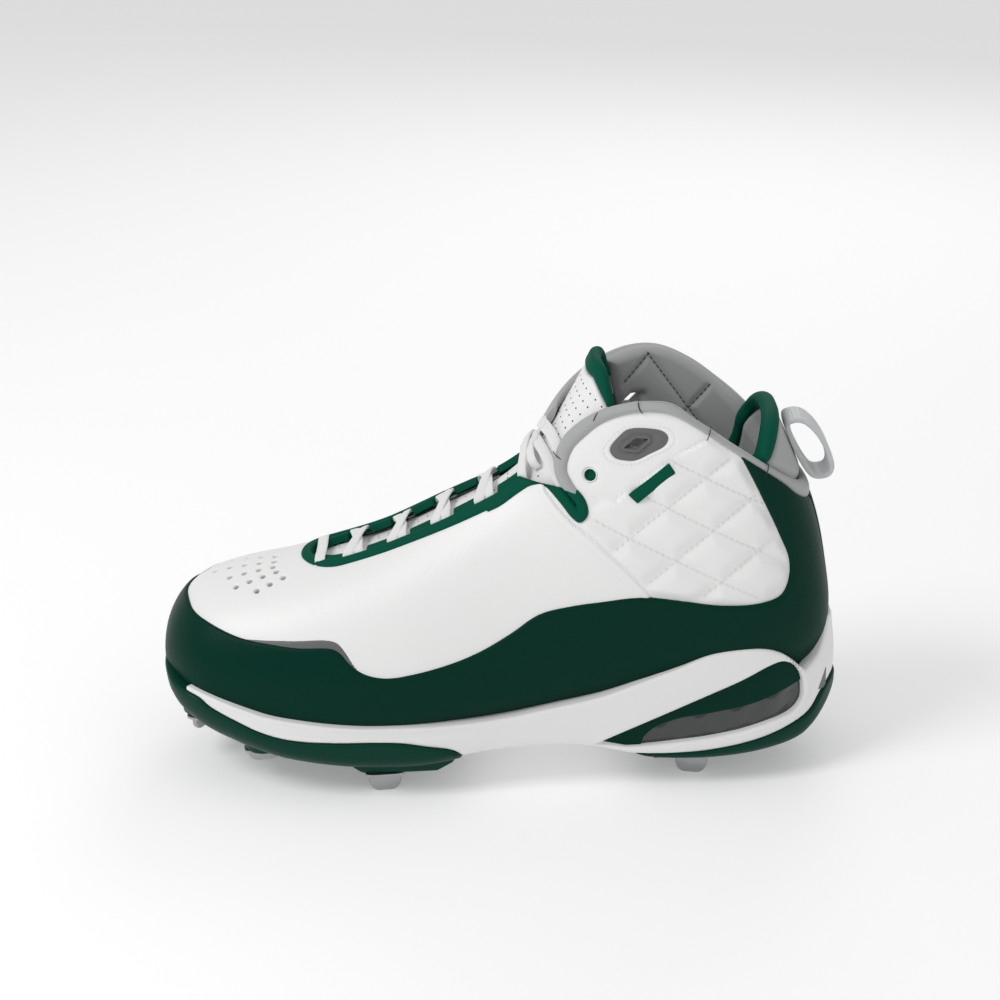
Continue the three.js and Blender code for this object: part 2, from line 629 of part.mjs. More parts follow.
function laceBand(fromX, toX, reach, hump) {
  const base = trimOut + 2 * gap;
  const rings = [];
  for (let i = 0; i <= laceSteps; i += 1) {
    const t = i / laceSteps;
    const lift = hump * Math.sin(Math.PI * t) ** 2;
    const x = THREE.MathUtils.lerp(fromX, toX, t);
    const y = throatCentre + THREE.MathUtils.lerp(-reach, reach, t);
    const { point, normal } = topAt(x, y, base + lift);
    const across = new THREE.Vector3(1, (fromX - toX) / (2 * reach), 0);
    across.addScaledVector(normal, -across.dot(normal)).normalize().multiplyScalar(laceWidth / 2);
    const up = normal.clone().multiplyScalar(laceThickness);
    rings.push([
      point.clone().sub(across), point.clone().add(across),
      point.clone().add(across).add(up), point.clone().sub(across).add(up),
    ]);
  }
  return loft(rings);
}

const laceSpan = throatHalfWidth + laceReach;
const laceBarX = laceBarPlace * shoeLength;
const laceBar = laceBand(laceBarX, laceBarX, laceSpan - laceBarTrim, 0);
const laceCrosses = Array.from({ length: laceCrossings }, (_, i) => {
  const x = (firstCrossing + i * crossingPitch) * shoeLength;
  const lean = laceCrossSpread / 2;
  return laceBand(x - lean, x + lean, laceSpan, 0)
    .add(laceBand(x + lean, x - lean, laceSpan, laceThickness * laceCrossRise));
});

// Insole, lying on the lasting margin inside the upper
const insoleTop = placedRows.slice(2, 15)
  .map(([backX, backZ]) => [backX, backZ + upperWall + gap + insoleThickness]);
const inFront = -shoeLength / 15;
const insole = lastSolid(-(upperWall + gap), frontRow)
  .intersect(sidePrism([
    [inFront, insoleTop[0][1]], ...insoleTop, [behind, insoleTop.at(-1)[1]], [behind, 0], [inFront, 0],
  ]));

// Sole block: the full sole outline with a curled bottom edge
function soleBlock(inset, drop, top) {
  const rings = [];
  for (const [x, lateral, medial, bottom, rise] of soleRows) {
    const half = halfWidthAt(x);
    const squeeze = THREE.MathUtils.clamp(1 - inset / (lateral * half), 0.05, 1);
    const outer = lateral * half * squeeze;
    const inner = medial * half * squeeze;
    const low = heightAt(bottom) - drop;
    const curl = rise * heelHeight;
    const tuck = Math.min(curl * tuckPerCurl, outer * tuckLimit, inner * tuckLimit);
    const place = x * shoeLength + (x < 0.5 ? inset : -inset) * Math.abs(1 - 2 * x) ** 8;
    const at = (y, z) => new THREE.Vector3(place, y, z);
    rings.push([
      at(-outer, top), at(-outer, low + curl), at(-outer + tuck * curlStepIn, low + curl * curlStepUp),
      at(-outer + tuck, low), at(inner - tuck, low), at(inner - tuck * curlStepIn, low + curl * curlStepUp),
      at(inner, low + curl), at(inner, top),
    ]);
  }
  return loft(rings);
}

const blockTop = heightAt(blockLevel);
const block = soleBlock(0, 0, blockTop);
const foot = lastSolid(foxingOut + gap);
const groundLine = -10;
const underLine = (points) => [
  ...sideLine(points), [sideLine(points).at(-1)[0], groundLine], [sideLine(points)[0][0], groundLine],
];
const forefootRegion = underLine(forefootOutsoleTop);
const heelRegion = underLine(heelOutsoleTop);
const window = sideLine(windowOutline);
const airRegion = [
  ...sideLine(airTop), [airRear * shoeLength, groundLine], [airFront * shoeLength, groundLine],
];

// Midsole: a cup round the foot, with a window right through the heel
const midsoleRegion = [
  ...sideLine(midsoleTop), ...sideLine(heelBackLine), [shoeLength, groundLine],
  [midsoleTop[0][0] * shoeLength, groundLine],
];
const midsole = block
  .intersect(sidePrism(midsoleRegion))
  .subtract(sidePrism(grown(forefootRegion, gap)))
  .subtract(sidePrism(grown(heelRegion, gap)))
  .subtract(sidePrism(window))
  .subtract(foot);

const heelCore = soleBlock(windowInset, 0, blockTop)
  .intersect(sidePrism(grown(window, -gap)))
  .subtract(sidePrism(grown(airRegion, gap)))
  .subtract(foot);
const airUnit = soleBlock(airInset, 0, blockTop)
  .intersect(sidePrism(grown(window, -gap)))
  .intersect(sidePrism(airRegion))
  .subtract(foot);

// Outsoles: a forefoot plate that wraps the toe and a heel plate, both with lugs for the studs
function lugs(outline, innerShare) {
  const line = sideLine(outline);
  const reach = innerShare * halfWidthAt(outline[0][0]);
  const root = line.at(-1)[1] + lugRoot;
  const bar = [...line, [line.at(-1)[0], root], [line[0][0], root]];
  return soleBlock(lugInset, lugDrop, blockTop).intersect(sidePrism(bar))
    .subtract(sidePrism(grown(bar, lugSpread), -reach, reach));
}

function studPad(row) {
  const x = row.x * shoeLength;
  const y = row.y * halfWidthAt(row.x);
  const geometry = new THREE.CylinderGeometry(padRadius * padFlare, padRadius, padDepth + padRoot, 8);
  geometry.rotateX(Math.PI / 2);
  geometry.translate(x, y, heightAt(row.top) + (padDepth + padRoot) / 2);
  return toSolid(indexed(geometry));
}

const forefootOutsole = block
  .intersect(sidePrism(forefootRegion))
  .add(lugs(ballLug, ballLugInner).intersect(sidePrism(forefootRegion)))
  .add(studRows.slice(0, 4).map(studPad).reduce((all, pad) => all.add(pad)).intersect(
    soleBlock(padInset, padDrop, blockTop).intersect(sidePrism(forefootRegion)),
  ))
  .subtract(foot);
const heelOutsole = block
  .intersect(sidePrism(heelRegion))
  .add(lugs(heelLug, heelLugInner).intersect(sidePrism(heelRegion)))
  .subtract(foot);

// Studs: a flange under the lug and a blade with a rounded end and a flat tip
function studSolid(row) {
  const drop = heightAt(row.top) - gap - heightAt(row.tip);
  const half = studWidth / 2;
  const tip = studTipWidth / 2;
  const curve = Array.from({ length: 4 }, (_, i) => {
    const angle = (Math.PI / 2) * (i / 3);
    return [tip + (half - tip) * Math.cos(angle), -drop + drop * bladeCurveShare * (1 - Math.sin(angle))];
  });
  const outline = [[half, 0], ...curve, ...curve.map(([a, b]) => [-a, b]).reverse(), [-half, 0]];
  const blade = extruded(outline, studThickness);
  blade.rotateX(Math.PI / 2);
  blade.translate(0, studThickness / 2, 0);
  const flange = new THREE.BoxGeometry(studFlangeWidth, studFlangeDepth, studFlangeThickness);
  flange.translate(0, 0, -studFlangeThickness / 2);
  return toSolid(indexed(blade)).add(toSolid(indexed(flange)));
}

// Materials
const glossyGreen = new THREE.MeshStandardMaterial({ color: 0x00392b, roughness: 0.3 });
const pipingGreen = new THREE.MeshStandardMaterial({ color: 0x075a43, roughness: 0.6 });
const whiteLeather = new THREE.MeshStandardMaterial({ color: 0xf0f0ee, roughness: 0.5 });
const whiteRubber = new THREE.MeshStandardMaterial({ color: 0xe6e6e4, roughness: 0.45 });
const greyLining = new THREE.MeshStandardMaterial({ color: 0x8f9190, roughness: 0.8 });
const darkGrey = new THREE.MeshStandardMaterial({ color: 0x606062, roughness: 0.5 });
const lightGrey = new THREE.MeshStandardMaterial({ color: 0xc8cccb, roughness: 0.5 });
const smokedAir = new THREE.MeshStandardMaterial({ color: 0x26302d, roughness: 0.15 });
const whiteCloth = new THREE.MeshStandardMaterial({ color: 0xf4f4f2, roughness: 0.85 });
const studMetal = new THREE.MeshStandardMaterial({ color: 0xa2a4a6, roughness: 0.35, metalness: 1 });

// Assembly
const cleat = new THREE.Group();

function addPiece(name, made, material, place) {
  const { vertProperties, triVerts } = made.getMesh();
  const geometry = new THREE.BufferGeometry();
  geometry.setAttribute('position', new THREE.Float32BufferAttribute(vertProperties, 3));
  geometry.setIndex(Array.from(triVerts));
  const mesh = new THREE.Mesh(geometry, material);
  mesh.name = name;
  if (place) place(mesh);
  cleat.add(mesh);
  return mesh;
}

addPiece('upper', upper, whiteLeather);
addPiece('foxing', foxing, glossyGreen);
addPiece('side_strip', sideStrip, darkGrey);
addPiece('toe_panel', toePanel, lightGrey);
addPiece('side_tag', tag, pipingGreen);
addPiece('collar', collar, greyLining);
addPiece('heel_tab', heelTab, greyLining);
addPiece('heel_tab_binding', heelTabBinding, pipingGreen);
addPiece('pull_loop', pullLoop, lightGrey);
addPiece('tongue', tongue, whiteLeather);
addPiece('tongue_binding', tongueBinding, pipingGreen);
addPiece('throat_binding', throatBinding, pipingGreen);
badgePlates.decompose().forEach((plate) => {
  const middle = plate.boundingBox();
  addPiece(middle.max[1] < 0 ? 'vent_badge_lateral' : 'vent_badge_medial', plate, darkGrey);
});
addPiece('lace_bar', laceBar, whiteCloth);
laceCrosses.forEach((cross, i) => addPiece(`lace_cross_${i + 1}`, cross, whiteCloth));
addPiece('insole', insole, greyLining);
addPiece('midsole', midsole, whiteRubber);
addPiece('heel_core', heelCore, glossyGreen);
addPiece('air_unit', airUnit, smokedAir);
addPiece('forefoot_outsole', forefootOutsole, glossyGreen);
addPiece('heel_outsole', heelOutsole, glossyGreen);
for (const row of studRows) {
  addPiece(row.name, studSolid(row), studMetal, (mesh) => {
    mesh.position.set(row.x * shoeLength, row.y * halfWidthAt(row.x), heightAt(row.top) - gap);
    mesh.rotation.z = THREE.MathUtils.degToRad(row.turn);
  });
}

// The origin is under the middle of the whole shoe, on the ground
cleat.updateMatrixWorld(true);
const bounds = new THREE.Box3().setFromObject(cleat, true);
const middle = bounds.getCenter(new THREE.Vector3());
cleat.position.set(-middle.x, -middle.y, -bounds.min.z);
cleat.updateMatrixWorld(true);

export default cleat;
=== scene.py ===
"""The looks of a left baseball cleat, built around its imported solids.

Lengths inside the script are millimetres in the shoe's own frame: x from the toe tip to the heel, y from
the outer (lateral, negative) to the inner (medial) side and z up from the ground. Tables give shares: an x
is a share of the shoe's length, a width is a share of the half width at its place, and a level is a height
(0 the ground, 1 the foot bed at the heel, 2 the top of the lacing, 3 the top of the collar).
"""

import math

import bpy
import numpy as np
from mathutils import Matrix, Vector


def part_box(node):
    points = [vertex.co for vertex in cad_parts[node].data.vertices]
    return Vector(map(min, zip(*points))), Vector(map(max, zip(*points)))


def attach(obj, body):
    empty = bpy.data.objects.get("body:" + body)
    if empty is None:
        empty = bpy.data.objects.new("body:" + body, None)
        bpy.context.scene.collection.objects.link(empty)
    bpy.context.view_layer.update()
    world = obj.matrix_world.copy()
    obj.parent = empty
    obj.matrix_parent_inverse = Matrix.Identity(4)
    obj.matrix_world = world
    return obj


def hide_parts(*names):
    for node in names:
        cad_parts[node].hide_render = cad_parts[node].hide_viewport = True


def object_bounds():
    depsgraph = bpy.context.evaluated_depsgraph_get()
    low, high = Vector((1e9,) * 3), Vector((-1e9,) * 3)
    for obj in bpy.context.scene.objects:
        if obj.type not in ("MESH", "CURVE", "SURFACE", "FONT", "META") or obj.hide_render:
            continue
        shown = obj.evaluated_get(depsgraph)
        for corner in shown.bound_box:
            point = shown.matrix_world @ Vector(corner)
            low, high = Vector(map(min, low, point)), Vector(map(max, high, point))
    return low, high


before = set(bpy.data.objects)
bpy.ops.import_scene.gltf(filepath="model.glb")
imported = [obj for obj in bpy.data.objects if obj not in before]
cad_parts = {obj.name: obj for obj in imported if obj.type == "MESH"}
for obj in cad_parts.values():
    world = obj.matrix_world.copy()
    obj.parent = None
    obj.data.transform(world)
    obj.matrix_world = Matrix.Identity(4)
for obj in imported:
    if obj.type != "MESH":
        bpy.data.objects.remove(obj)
cad_low, cad_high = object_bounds()

# Driving sizes, taken from the frame
SOLE_REACH = 1.005
TOE_REACH = 0.005
LENGTH = (cad_high.x - cad_low.x) * 1000 / SOLE_REACH
BALL_WIDTH = 0.3213 * LENGTH
HEEL_WIDTH = 0.2426 * LENGTH
LEVEL_HEIGHTS = np.array([0, 0.1361, 0.4295, 0.5934]) * LENGTH
BALL_END = 0.35
HEEL_START = 0.7
loop_low, loop_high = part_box("pull_loop")
ORIGIN = np.array([
    cad_low.x * 1000 + TOE_REACH * LENGTH,
    (loop_low.y + loop_high.y) * 500 - 0.0001,
    cad_low.z * 1000,
])

# Offsets of the layers from the last's own surface, out positive
UPPER_WALL = 2.2
FOXING_OUT = 1.8
TRIM_OUT = 1.3
PIPING_OUT = 1.7
ROLL_OUT = 2.3
ROLL_IN = -3.2
LINING_OUT = -2.4
LINING_IN = -7.0
TONGUE_OUT = -2.85
LACE_BASE = 1.5
LACE_SAG = 0.9
LACE_WIDTH = 4.9
LACE_THICKNESS = 1.1
THROAT_HALF = 18
THROAT_NOSE = 20
THROAT_CENTRE = 0.5
THROAT_FRONT = 0.21
THROAT_REAR = 0.541
PIPING_WIDTH = 4.3
SADDLE_DEPTH = 3.2
TONGUE_HALF = 26
EYELET_RADIUS = 3
VENT_RADIUS = 1.25
LOOP_WIDTH = 16
LOOP_THICKNESS = 2.2

# Section rows of the last, from the toe tip to the collar
LAST_ROWS = [
    # backX, backZ, frontX, frontZ, widest, lateral, medial, low, high, shift
    (0.007, 1.106, 0.007, 1.128, 0.500, 0.010, 0.010, 2.0, 2.00, 0.122),
    (0.010, 1.034, 0.010, 1.240, 0.450, 0.347, 0.306, 2.2, 2.00, 0.122),
    (0.030, 0.976, 0.030, 1.363, 0.380, 0.612, 0.531, 2.6, 2.00, 0.122),
    (0.066, 0.892, 0.066, 1.469, 0.330, 0.816, 0.694, 3.0, 2.00, 0.102),
    (0.118, 0.807, 0.118, 1.536, 0.280, 0.939, 0.816, 3.2, 2.05, 0.082),
    (0.190, 0.735, 0.190, 1.598, 0.250, 1.010, 0.908, 3.4, 2.05, 0.041),
    (0.269, 0.694, 0.269, 1.676, 0.235, 1.041, 0.959, 3.4, 2.00, 0.020),
    (0.354, 0.687, 0.348, 1.765, 0.225, 1.021, 0.918, 3.4, 1.95, 0.000),
    (0.439, 0.723, 0.420, 1.877, 0.235, 0.999, 0.871, 3.4, 1.90, 0.000),
    (0.525, 0.783, 0.479, 2.000, 0.250, 1.011, 0.883, 3.4, 1.90, 0.000),
    (0.610, 0.867, 0.518, 2.180, 0.285, 1.052, 0.949, 3.4, 1.95, 0.000),
    (0.695, 0.940, 0.541, 2.320, 0.320, 1.067, 1.000, 3.3, 2.10, 0.000),
    (0.787, 1.000, 0.557, 2.450, 0.360, 1.041, 1.000, 3.1, 2.30, 0.000),
    (0.879, 1.022, 0.570, 2.580, 0.400, 1.014, 0.986, 2.8, 2.45, 0.000),
    (0.951, 1.073, 0.580, 2.700, 0.430, 0.986, 0.973, 2.5, 2.50, 0.000),
    (0.980, 1.207, 0.590, 2.820, 0.450, 0.973, 0.959, 2.3, 2.50, 0.000),
    (0.984, 1.385, 0.600, 2.940, 0.460, 0.959, 0.946, 2.2, 2.50, 0.000),
    (0.975, 1.598, 0.610, 3.060, 0.460, 0.946, 0.946, 2.2, 2.50, 0.000),
    (0.961, 1.821, 0.620, 3.180, 0.460, 0.946, 0.946, 2.2, 2.50, 0.000),
    (0.939, 2.080, 0.630, 3.300, 0.460, 0.959, 0.959, 2.2, 2.50, 0.000),
    (0.915, 2.420, 0.639, 3.420, 0.460, 0.973, 0.973, 2.2, 2.50, 0.000),
    (0.889, 2.780, 0.652, 3.540, 0.460, 0.973, 0.973, 2.2, 2.50, 0.000),
    (0.866, 3.180, 0.672, 3.680, 0.460, 0.973, 0.973, 2.2, 2.50, 0.000),
]

# The sole's outline and underside, from toe to heel
SOLE_ROWS = [
    # x, lateral, medial, bottom, rise
    (0.005, 0.163, 0.327, 1.050, 0.160),
    (0.011, 0.400, 0.540, 0.916, 0.250),
    (0.024, 0.592, 0.704, 0.771, 0.300),
    (0.050, 0.755, 0.837, 0.639, 0.360),
    (0.108, 0.939, 0.971, 0.518, 0.350),
    (0.187, 1.057, 1.033, 0.422, 0.240),
    (0.282, 1.102, 1.051, 0.361, 0.205),
    (0.390, 1.081, 0.968, 0.361, 0.200),
    (0.459, 1.071, 0.947, 0.458, 0.150),
    (0.498, 1.071, 0.947, 0.513, 0.100),
    (0.610, 1.129, 1.039, 0.542, 0.072),
    (0.718, 1.143, 1.095, 0.373, 0.096),
    (0.813, 1.081, 1.054, 0.337, 0.096),
    (0.892, 0.973, 0.959, 0.373, 0.120),
    (0.951, 0.757, 0.743, 0.434, 0.145),
    (0.980, 0.514, 0.505, 0.542, 0.193),
    (1.000, 0.190, 0.190, 0.699, 0.193),
]

# Lines seen from the side, each point an x share and a level
FOXING_TOP_LATERAL = [
    (-0.02, 1.39), (0.03, 1.394), (0.04, 1.4), (0.052, 1.388), (0.075, 1.376), (0.129, 1.34),
    (0.17, 1.331), (0.213, 1.325), (0.262, 1.331), (0.274, 1.313), (0.287, 1.267), (0.307, 1.22),
    (0.337, 1.198), (0.375, 1.213), (0.429, 1.257), (0.474, 1.316), (0.516, 1.397), (0.557, 1.491),
    (0.603, 1.532), (0.644, 1.553), (0.7, 1.575), (0.759, 1.551), (0.818, 1.52), (0.876, 1.521),
    (0.905, 1.551), (0.915, 1.62), (0.915, 1.726), (0.899, 1.863), (0.876, 2.052), (0.852, 2.344),
    (0.825, 2.65),
]
FOXING_SHARED_FROM = 13
FOXING_TOE_MEDIAL = [
    (-0.02, 1.391), (0.048, 1.385), (0.066, 1.363), (0.092, 1.33), (0.131, 1.285), (0.18, 1.246),
    (0.246, 1.212), (0.328, 1.19),
]
STRIP_TOP_LATERAL = [
    (0.293, 1.262), (0.281, 1.32), (0.271, 1.354), (0.258, 1.366), (0.211, 1.355), (0.17, 1.345),
    (0.131, 1.338),
]
TOE_PANEL_TOP_MEDIAL = [
    (0.039, 1.455), (0.066, 1.464), (0.098, 1.43), (0.138, 1.363), (0.184, 1.296), (0.236, 1.235),
]
MIDSOLE_TOP = [
    (0.043, 1.075), (0.068, 1.06), (0.125, 1.015), (0.168, 0.96), (0.214, 0.922), (0.254, 0.892),
    (0.299, 0.872), (0.355, 0.87), (0.427, 0.872), (0.502, 0.905), (0.576, 1.0), (0.648, 1.054),
    (0.703, 1.125), (0.761, 1.2), (0.805, 1.259), (0.848, 1.277), (0.887, 1.27), (0.917, 1.226),
    (0.952, 1.114), (0.969, 1.165), (0.98, 1.246), (0.987, 1.33),
]
MIDSOLE_CUSP = 18
FOREFOOT_PLATE_TOP = [
    (-0.02, 1.165), (0.0, 1.145), (0.013, 1.095), (0.033, 1.056), (0.064, 1.03), (0.079, 0.99),
    (0.1, 0.925), (0.12, 0.87), (0.148, 0.788), (0.179, 0.726), (0.215, 0.697), (0.27, 0.693),
    (0.325, 0.698), (0.361, 0.682), (0.392, 0.638), (0.434, 0.565), (0.445, 0.48), (0.455, 0.3),
]
HEEL_PLATE_TOP = [
    (0.698, 0.4), (0.767, 0.41), (0.826, 0.446), (0.885, 0.53), (0.928, 0.627), (0.961, 0.747),
    (0.98, 0.916), (1.01, 1.028),
]
WINDOW = [
    (0.639, 0.537), (0.677, 0.67), (0.735, 0.865), (0.793, 1.027), (0.85, 1.111), (0.892, 1.178),
    (0.914, 1.193), (0.932, 1.161), (0.945, 1.094), (0.95, 1.004), (0.949, 0.901), (0.936, 0.793),
    (0.897, 0.706), (0.825, 0.595), (0.766, 0.547), (0.708, 0.511), (0.663, 0.511),
]
AIR_TOP = [
    (0.705, 0.4), (0.711, 0.586), (0.729, 0.72), (0.765, 0.817), (0.823, 0.877), (0.881, 0.961),
    (0.938, 1.049), (0.965, 1.085),
]
COLLAR_LATERAL = [
    (0.485, 1.933), (0.502, 1.964), (0.53, 2.064), (0.548, 2.14), (0.565, 2.164), (0.586, 2.064),
    (0.605, 1.964), (0.614, 1.947), (0.624, 1.981), (0.621, 2.08), (0.605, 2.2), (0.595, 2.318),
    (0.602, 2.486), (0.621, 2.63), (0.641, 2.748), (0.669, 2.848), (0.702, 2.908), (0.737, 2.906),
    (0.779, 2.772), (0.807, 2.654), (0.851, 2.462), (0.897, 2.232), (0.927, 2.04), (0.951, 1.955),
]
COLLAR_MEDIAL = [
    (0.485, 1.933), (0.502, 1.964), (0.53, 2.064), (0.548, 2.14), (0.565, 2.164), (0.586, 2.064),
    (0.602, 1.975), (0.611, 1.959), (0.617, 1.992), (0.611, 2.1), (0.59, 2.22), (0.576, 2.36),
    (0.584, 2.56), (0.61, 2.75), (0.646, 2.9), (0.689, 2.99), (0.728, 2.98), (0.774, 2.85),
    (0.813, 2.69), (0.852, 2.5), (0.898, 2.24), (0.928, 2.04), (0.951, 1.955),
]
ROLL_TOP_LATERAL = [
    (0.623, 2.1), (0.59, 2.17), (0.579, 2.336), (0.59, 2.548), (0.614, 2.726), (0.642, 2.856),
    (0.672, 2.94), (0.695, 2.974), (0.736, 2.974), (0.778, 2.818), (0.85, 2.524), (0.933, 2.116),
    (0.957, 2.0),
]
ROLL_TOP_MEDIAL = [
    (0.613, 2.12), (0.577, 2.18), (0.559, 2.35), (0.569, 2.59), (0.597, 2.82), (0.633, 2.98),
    (0.682, 3.08), (0.731, 3.07), (0.78, 2.94), (0.82, 2.77), (0.859, 2.58), (0.902, 2.31),
    (0.933, 2.116), (0.957, 2.0),
]
ROLL_START = [(0.5, 2.09), (0.7, 2.09), (0.72, 1.9), (1.05, 1.9), (1.05, 4.6), (0.5, 4.6)]
TONGUE_ANKLE = [
    (0.485, 1.788), (0.564, 1.832), (0.63, 1.877), (0.659, 2.08), (0.669, 2.42), (0.659, 2.74),
    (0.646, 3.0), (0.628, 3.232), (0.61, 3.25), (0.54, 3.26), (0.485, 2.38),
]
TONGUE_TOP_BAND = [
    (0.646, 2.88), (0.623, 3.1), (0.59, 3.14), (0.54, 3.13), (0.54, 3.4), (0.68, 3.4), (0.68, 2.88),
]
TAB_EDGE = [
    (0.861, 2.44), (0.872, 2.6), (0.882, 2.73), (0.889, 2.785), (0.905, 2.8), (1.05, 2.8),
]
TAB_LOW = 1.7
TAB_INSIDE = [(0.834, 2.12), (0.848, 2.22), (0.856, 2.34)]
TAB_INSIDE_BACK = 0.93
TAB_TUCK = 4.6
TAB_BINDING_RUN = 4
TAB_BINDING_DROP = 3.5
LOOP_OUTLINE = [
    (0.948, 2.13), (0.909, 2.62), (0.921, 2.666), (0.936, 2.66), (0.952, 2.59), (0.967, 2.472),
    (0.979, 2.32), (0.983, 2.2), (0.978, 2.13), (0.963, 2.1),
]
BADGE = [
    (0.655, 2.536), (0.667, 2.654), (0.681, 2.73), (0.717, 2.75), (0.729, 2.73), (0.735, 2.682),
    (0.731, 2.61), (0.71, 2.526), (0.691, 2.462), (0.677, 2.454), (0.662, 2.47),
]
DIAMOND = [(0.677, 2.57), (0.691, 2.652), (0.706, 2.656), (0.692, 2.57)]
TAG = [(0.682, 2.162), (0.737, 2.46), (0.747, 2.376), (0.695, 2.086)]
EYELET = (0.628, 2.302)
VAMP_SEAM = [(0.565, 2.12), (0.593, 1.968), (0.643, 1.83), (0.702, 1.63), (0.716, 1.56), (0.72, 1.4)]
ANKLE_PANEL = [(0.56, 2.13), (0.665, 2.125), (0.679, 2.19), (0.744, 2.534), (0.796, 2.73), (0.83, 2.9)]

# Perforations of the toe, a row of holes each: first x and y, the step to the next, and how many
VENT_ROWS = [
    # x, y, stepX, stepY, count
    (0.0777, 0.102, 0.0228, -0.037, 5),
    (0.1039, 0.251, 0.0216, -0.063, 4),
    (0.1039, -0.122, 0.0216, -0.005, 4),
    (0.1161, -0.288, 0.0195, 0.021, 4),
    (0.1482, -0.402, 0.0189, 0.038, 3),
    (0.1161, 0.390, 0.0195, -0.021, 4),
    (0.1482, 0.470, 0.0189, -0.038, 3),
]

# Quilting of the ankle and of the lining: one crossing and the two steps to its neighbours
ANKLE_QUILT = {"crossing": (0.736, 2.05), "along": (15.9, 13.9), "across": (20.1, -10.2)}
LINING_QUILT = {"crossing": (0.7125, 3.022), "along": (20.5, -26.0), "across": (15.6, 16.5)}

# Studs, as in the solids: turn is the angle of the blade from the shoe's length
STUD_ROWS = [
    # name, x, y, top, tip, turn
    ("stud_toe_lateral", 0.054, -0.2, 0.552, 0.357, 62),
    ("stud_toe_medial", 0.060, 0.45, 0.552, 0.357, -62),
    ("stud_mid_lateral", 0.154, -0.69, 0.415, 0.255, 12),
    ("stud_mid_medial", 0.154, 0.71, 0.415, 0.255, -12),
    ("stud_ball_lateral", 0.333, -0.87, 0.234, 0.0, 8),
    ("stud_ball_medial", 0.333, 0.8, 0.234, 0.0, -8),
    ("stud_heel_lateral", 0.787, -0.72, 0.255, 0.0, -8),
    ("stud_heel_medial", 0.787, 0.72, 0.255, 0.0, 8),
]
STUD_WIDTH = 14.5
STUD_THICKNESS = 2.6
STUD_TIP_WIDTH = 5.6
STUD_FLANGE = (18, 8, 1.4)
LUG_INSET = 7.5
BALL_LUG = [(0.275, 0.45), (0.285, 0.31), (0.3, 0.234), (0.41, 0.234), (0.432, 0.32), (0.45, 0.5)]
HEEL_LUG = [(0.722, 0.5), (0.728, 0.255), (0.845, 0.255), (0.858, 0.31), (0.864, 0.5)]

# Laces
LACE_BAR_X = 0.24
CROSSINGS = 5
FIRST_CROSSING = 0.291
CROSSING_PITCH = 0.0635
OVER_LEAN = 3.6
UNDER_LEAN = 1.9


# Places from shares
def height_at(level):
    level = np.asarray(level, float)
    step = np.clip(np.floor(level).astype(int), 0, len(LEVEL_HEIGHTS) - 2)
    low = LEVEL_HEIGHTS[step]
    return low + (level - step) * (LEVEL_HEIGHTS[step + 1] - low)


def smoothstep(value, low, high):
    t = np.clip((np.asarray(value, float) - low) / (high - low), 0, 1)
    return t * t * (3 - 2 * t)


def half_width(x):
    return (BALL_WIDTH + (HEEL_WIDTH - BALL_WIDTH) * smoothstep(x, BALL_END, HEEL_START)) / 2


def side_line(points):
    points = np.array(points, float)
    return np.column_stack([points[:, 0] * LENGTH, height_at(points[:, 1])])


SPLINE_SPANS = (((0, 1), (1, 2), (2, 3)), ((0, 2), (1, 3)), ((1, 2),))


def rounded(points, closed=False, steps=5):
    """A smooth curve through the points, by centripetal splines."""
    p = np.asarray(points, float)
    if closed:
        p = np.vstack([p[-1], p, p[0], p[1]])
    else:
        p = np.vstack([2 * p[0] - p[1], p, 2 * p[-1] - p[-2]])
    out = []
    for i in range(1, len(p) - 2):
        knots = [0.0]
        for k in range(3):
            knots.append(knots[-1] + max(np.linalg.norm(p[i + k] - p[i + k - 1]), 1e-6) ** 0.5)
        for t in np.linspace(knots[1], knots[2], steps, endpoint=False):
            level = [p[i - 1], p[i], p[i + 1], p[i + 2]]
            for spans in SPLINE_SPANS:
                level = [
                    (level[k] * (knots[high] - t) + level[k + 1] * (t - knots[low]))
                    / (knots[high] - knots[low])
                    for k, (low, high) in enumerate(spans)
                ]
            out.append(level[0])
    if not closed:
        out.append(p[-2])
    return np.array(out)


def row_at(rows, u):
    """Rows between the rows of a table, on a smooth curve through them."""
    last = len(rows) - 1
    i = np.clip(np.floor(u).astype(int), 0, last - 1)
    f = (u - i)[:, None]
    p1, p2 = rows[i], rows[i + 1]
    p0 = np.where((i > 0)[:, None], rows[np.maximum(i - 1, 0)], 2 * p1 - p2)
    p3 = np.where((i < last - 1)[:, None], rows[np.minimum(i + 2, last)], 2 * p2 - p1)
    return 0.5 * (2 * p1 + (p2 - p0) * f + (2 * p0 - 5 * p1 + 4 * p2 - p3) * f**2
                  + (3 * p1 - p0 - 3 * p2 + p3) * f**3)


# Surfaces: each gives points for places (u, a)
# The instep's crest, by which the last stands higher towards its inner side
INSTEP_AT = 0.435
INSTEP_SPAN = 0.1
INSTEP_RISE = 6.0
INSTEP_MIDDLE = 0.62


def placed_last():
    rows = np.array(LAST_ROWS)
    half = half_width(rows[:, 0])
    rows[:, 1] = height_at(rows[:, 1])
    rows[:, 3] = height_at(rows[:, 3])
    rows[:, [0, 2]] *= LENGTH
    rows[:, [5, 6, 9]] *= half[:, None]
    return rows


LAST = placed_last()


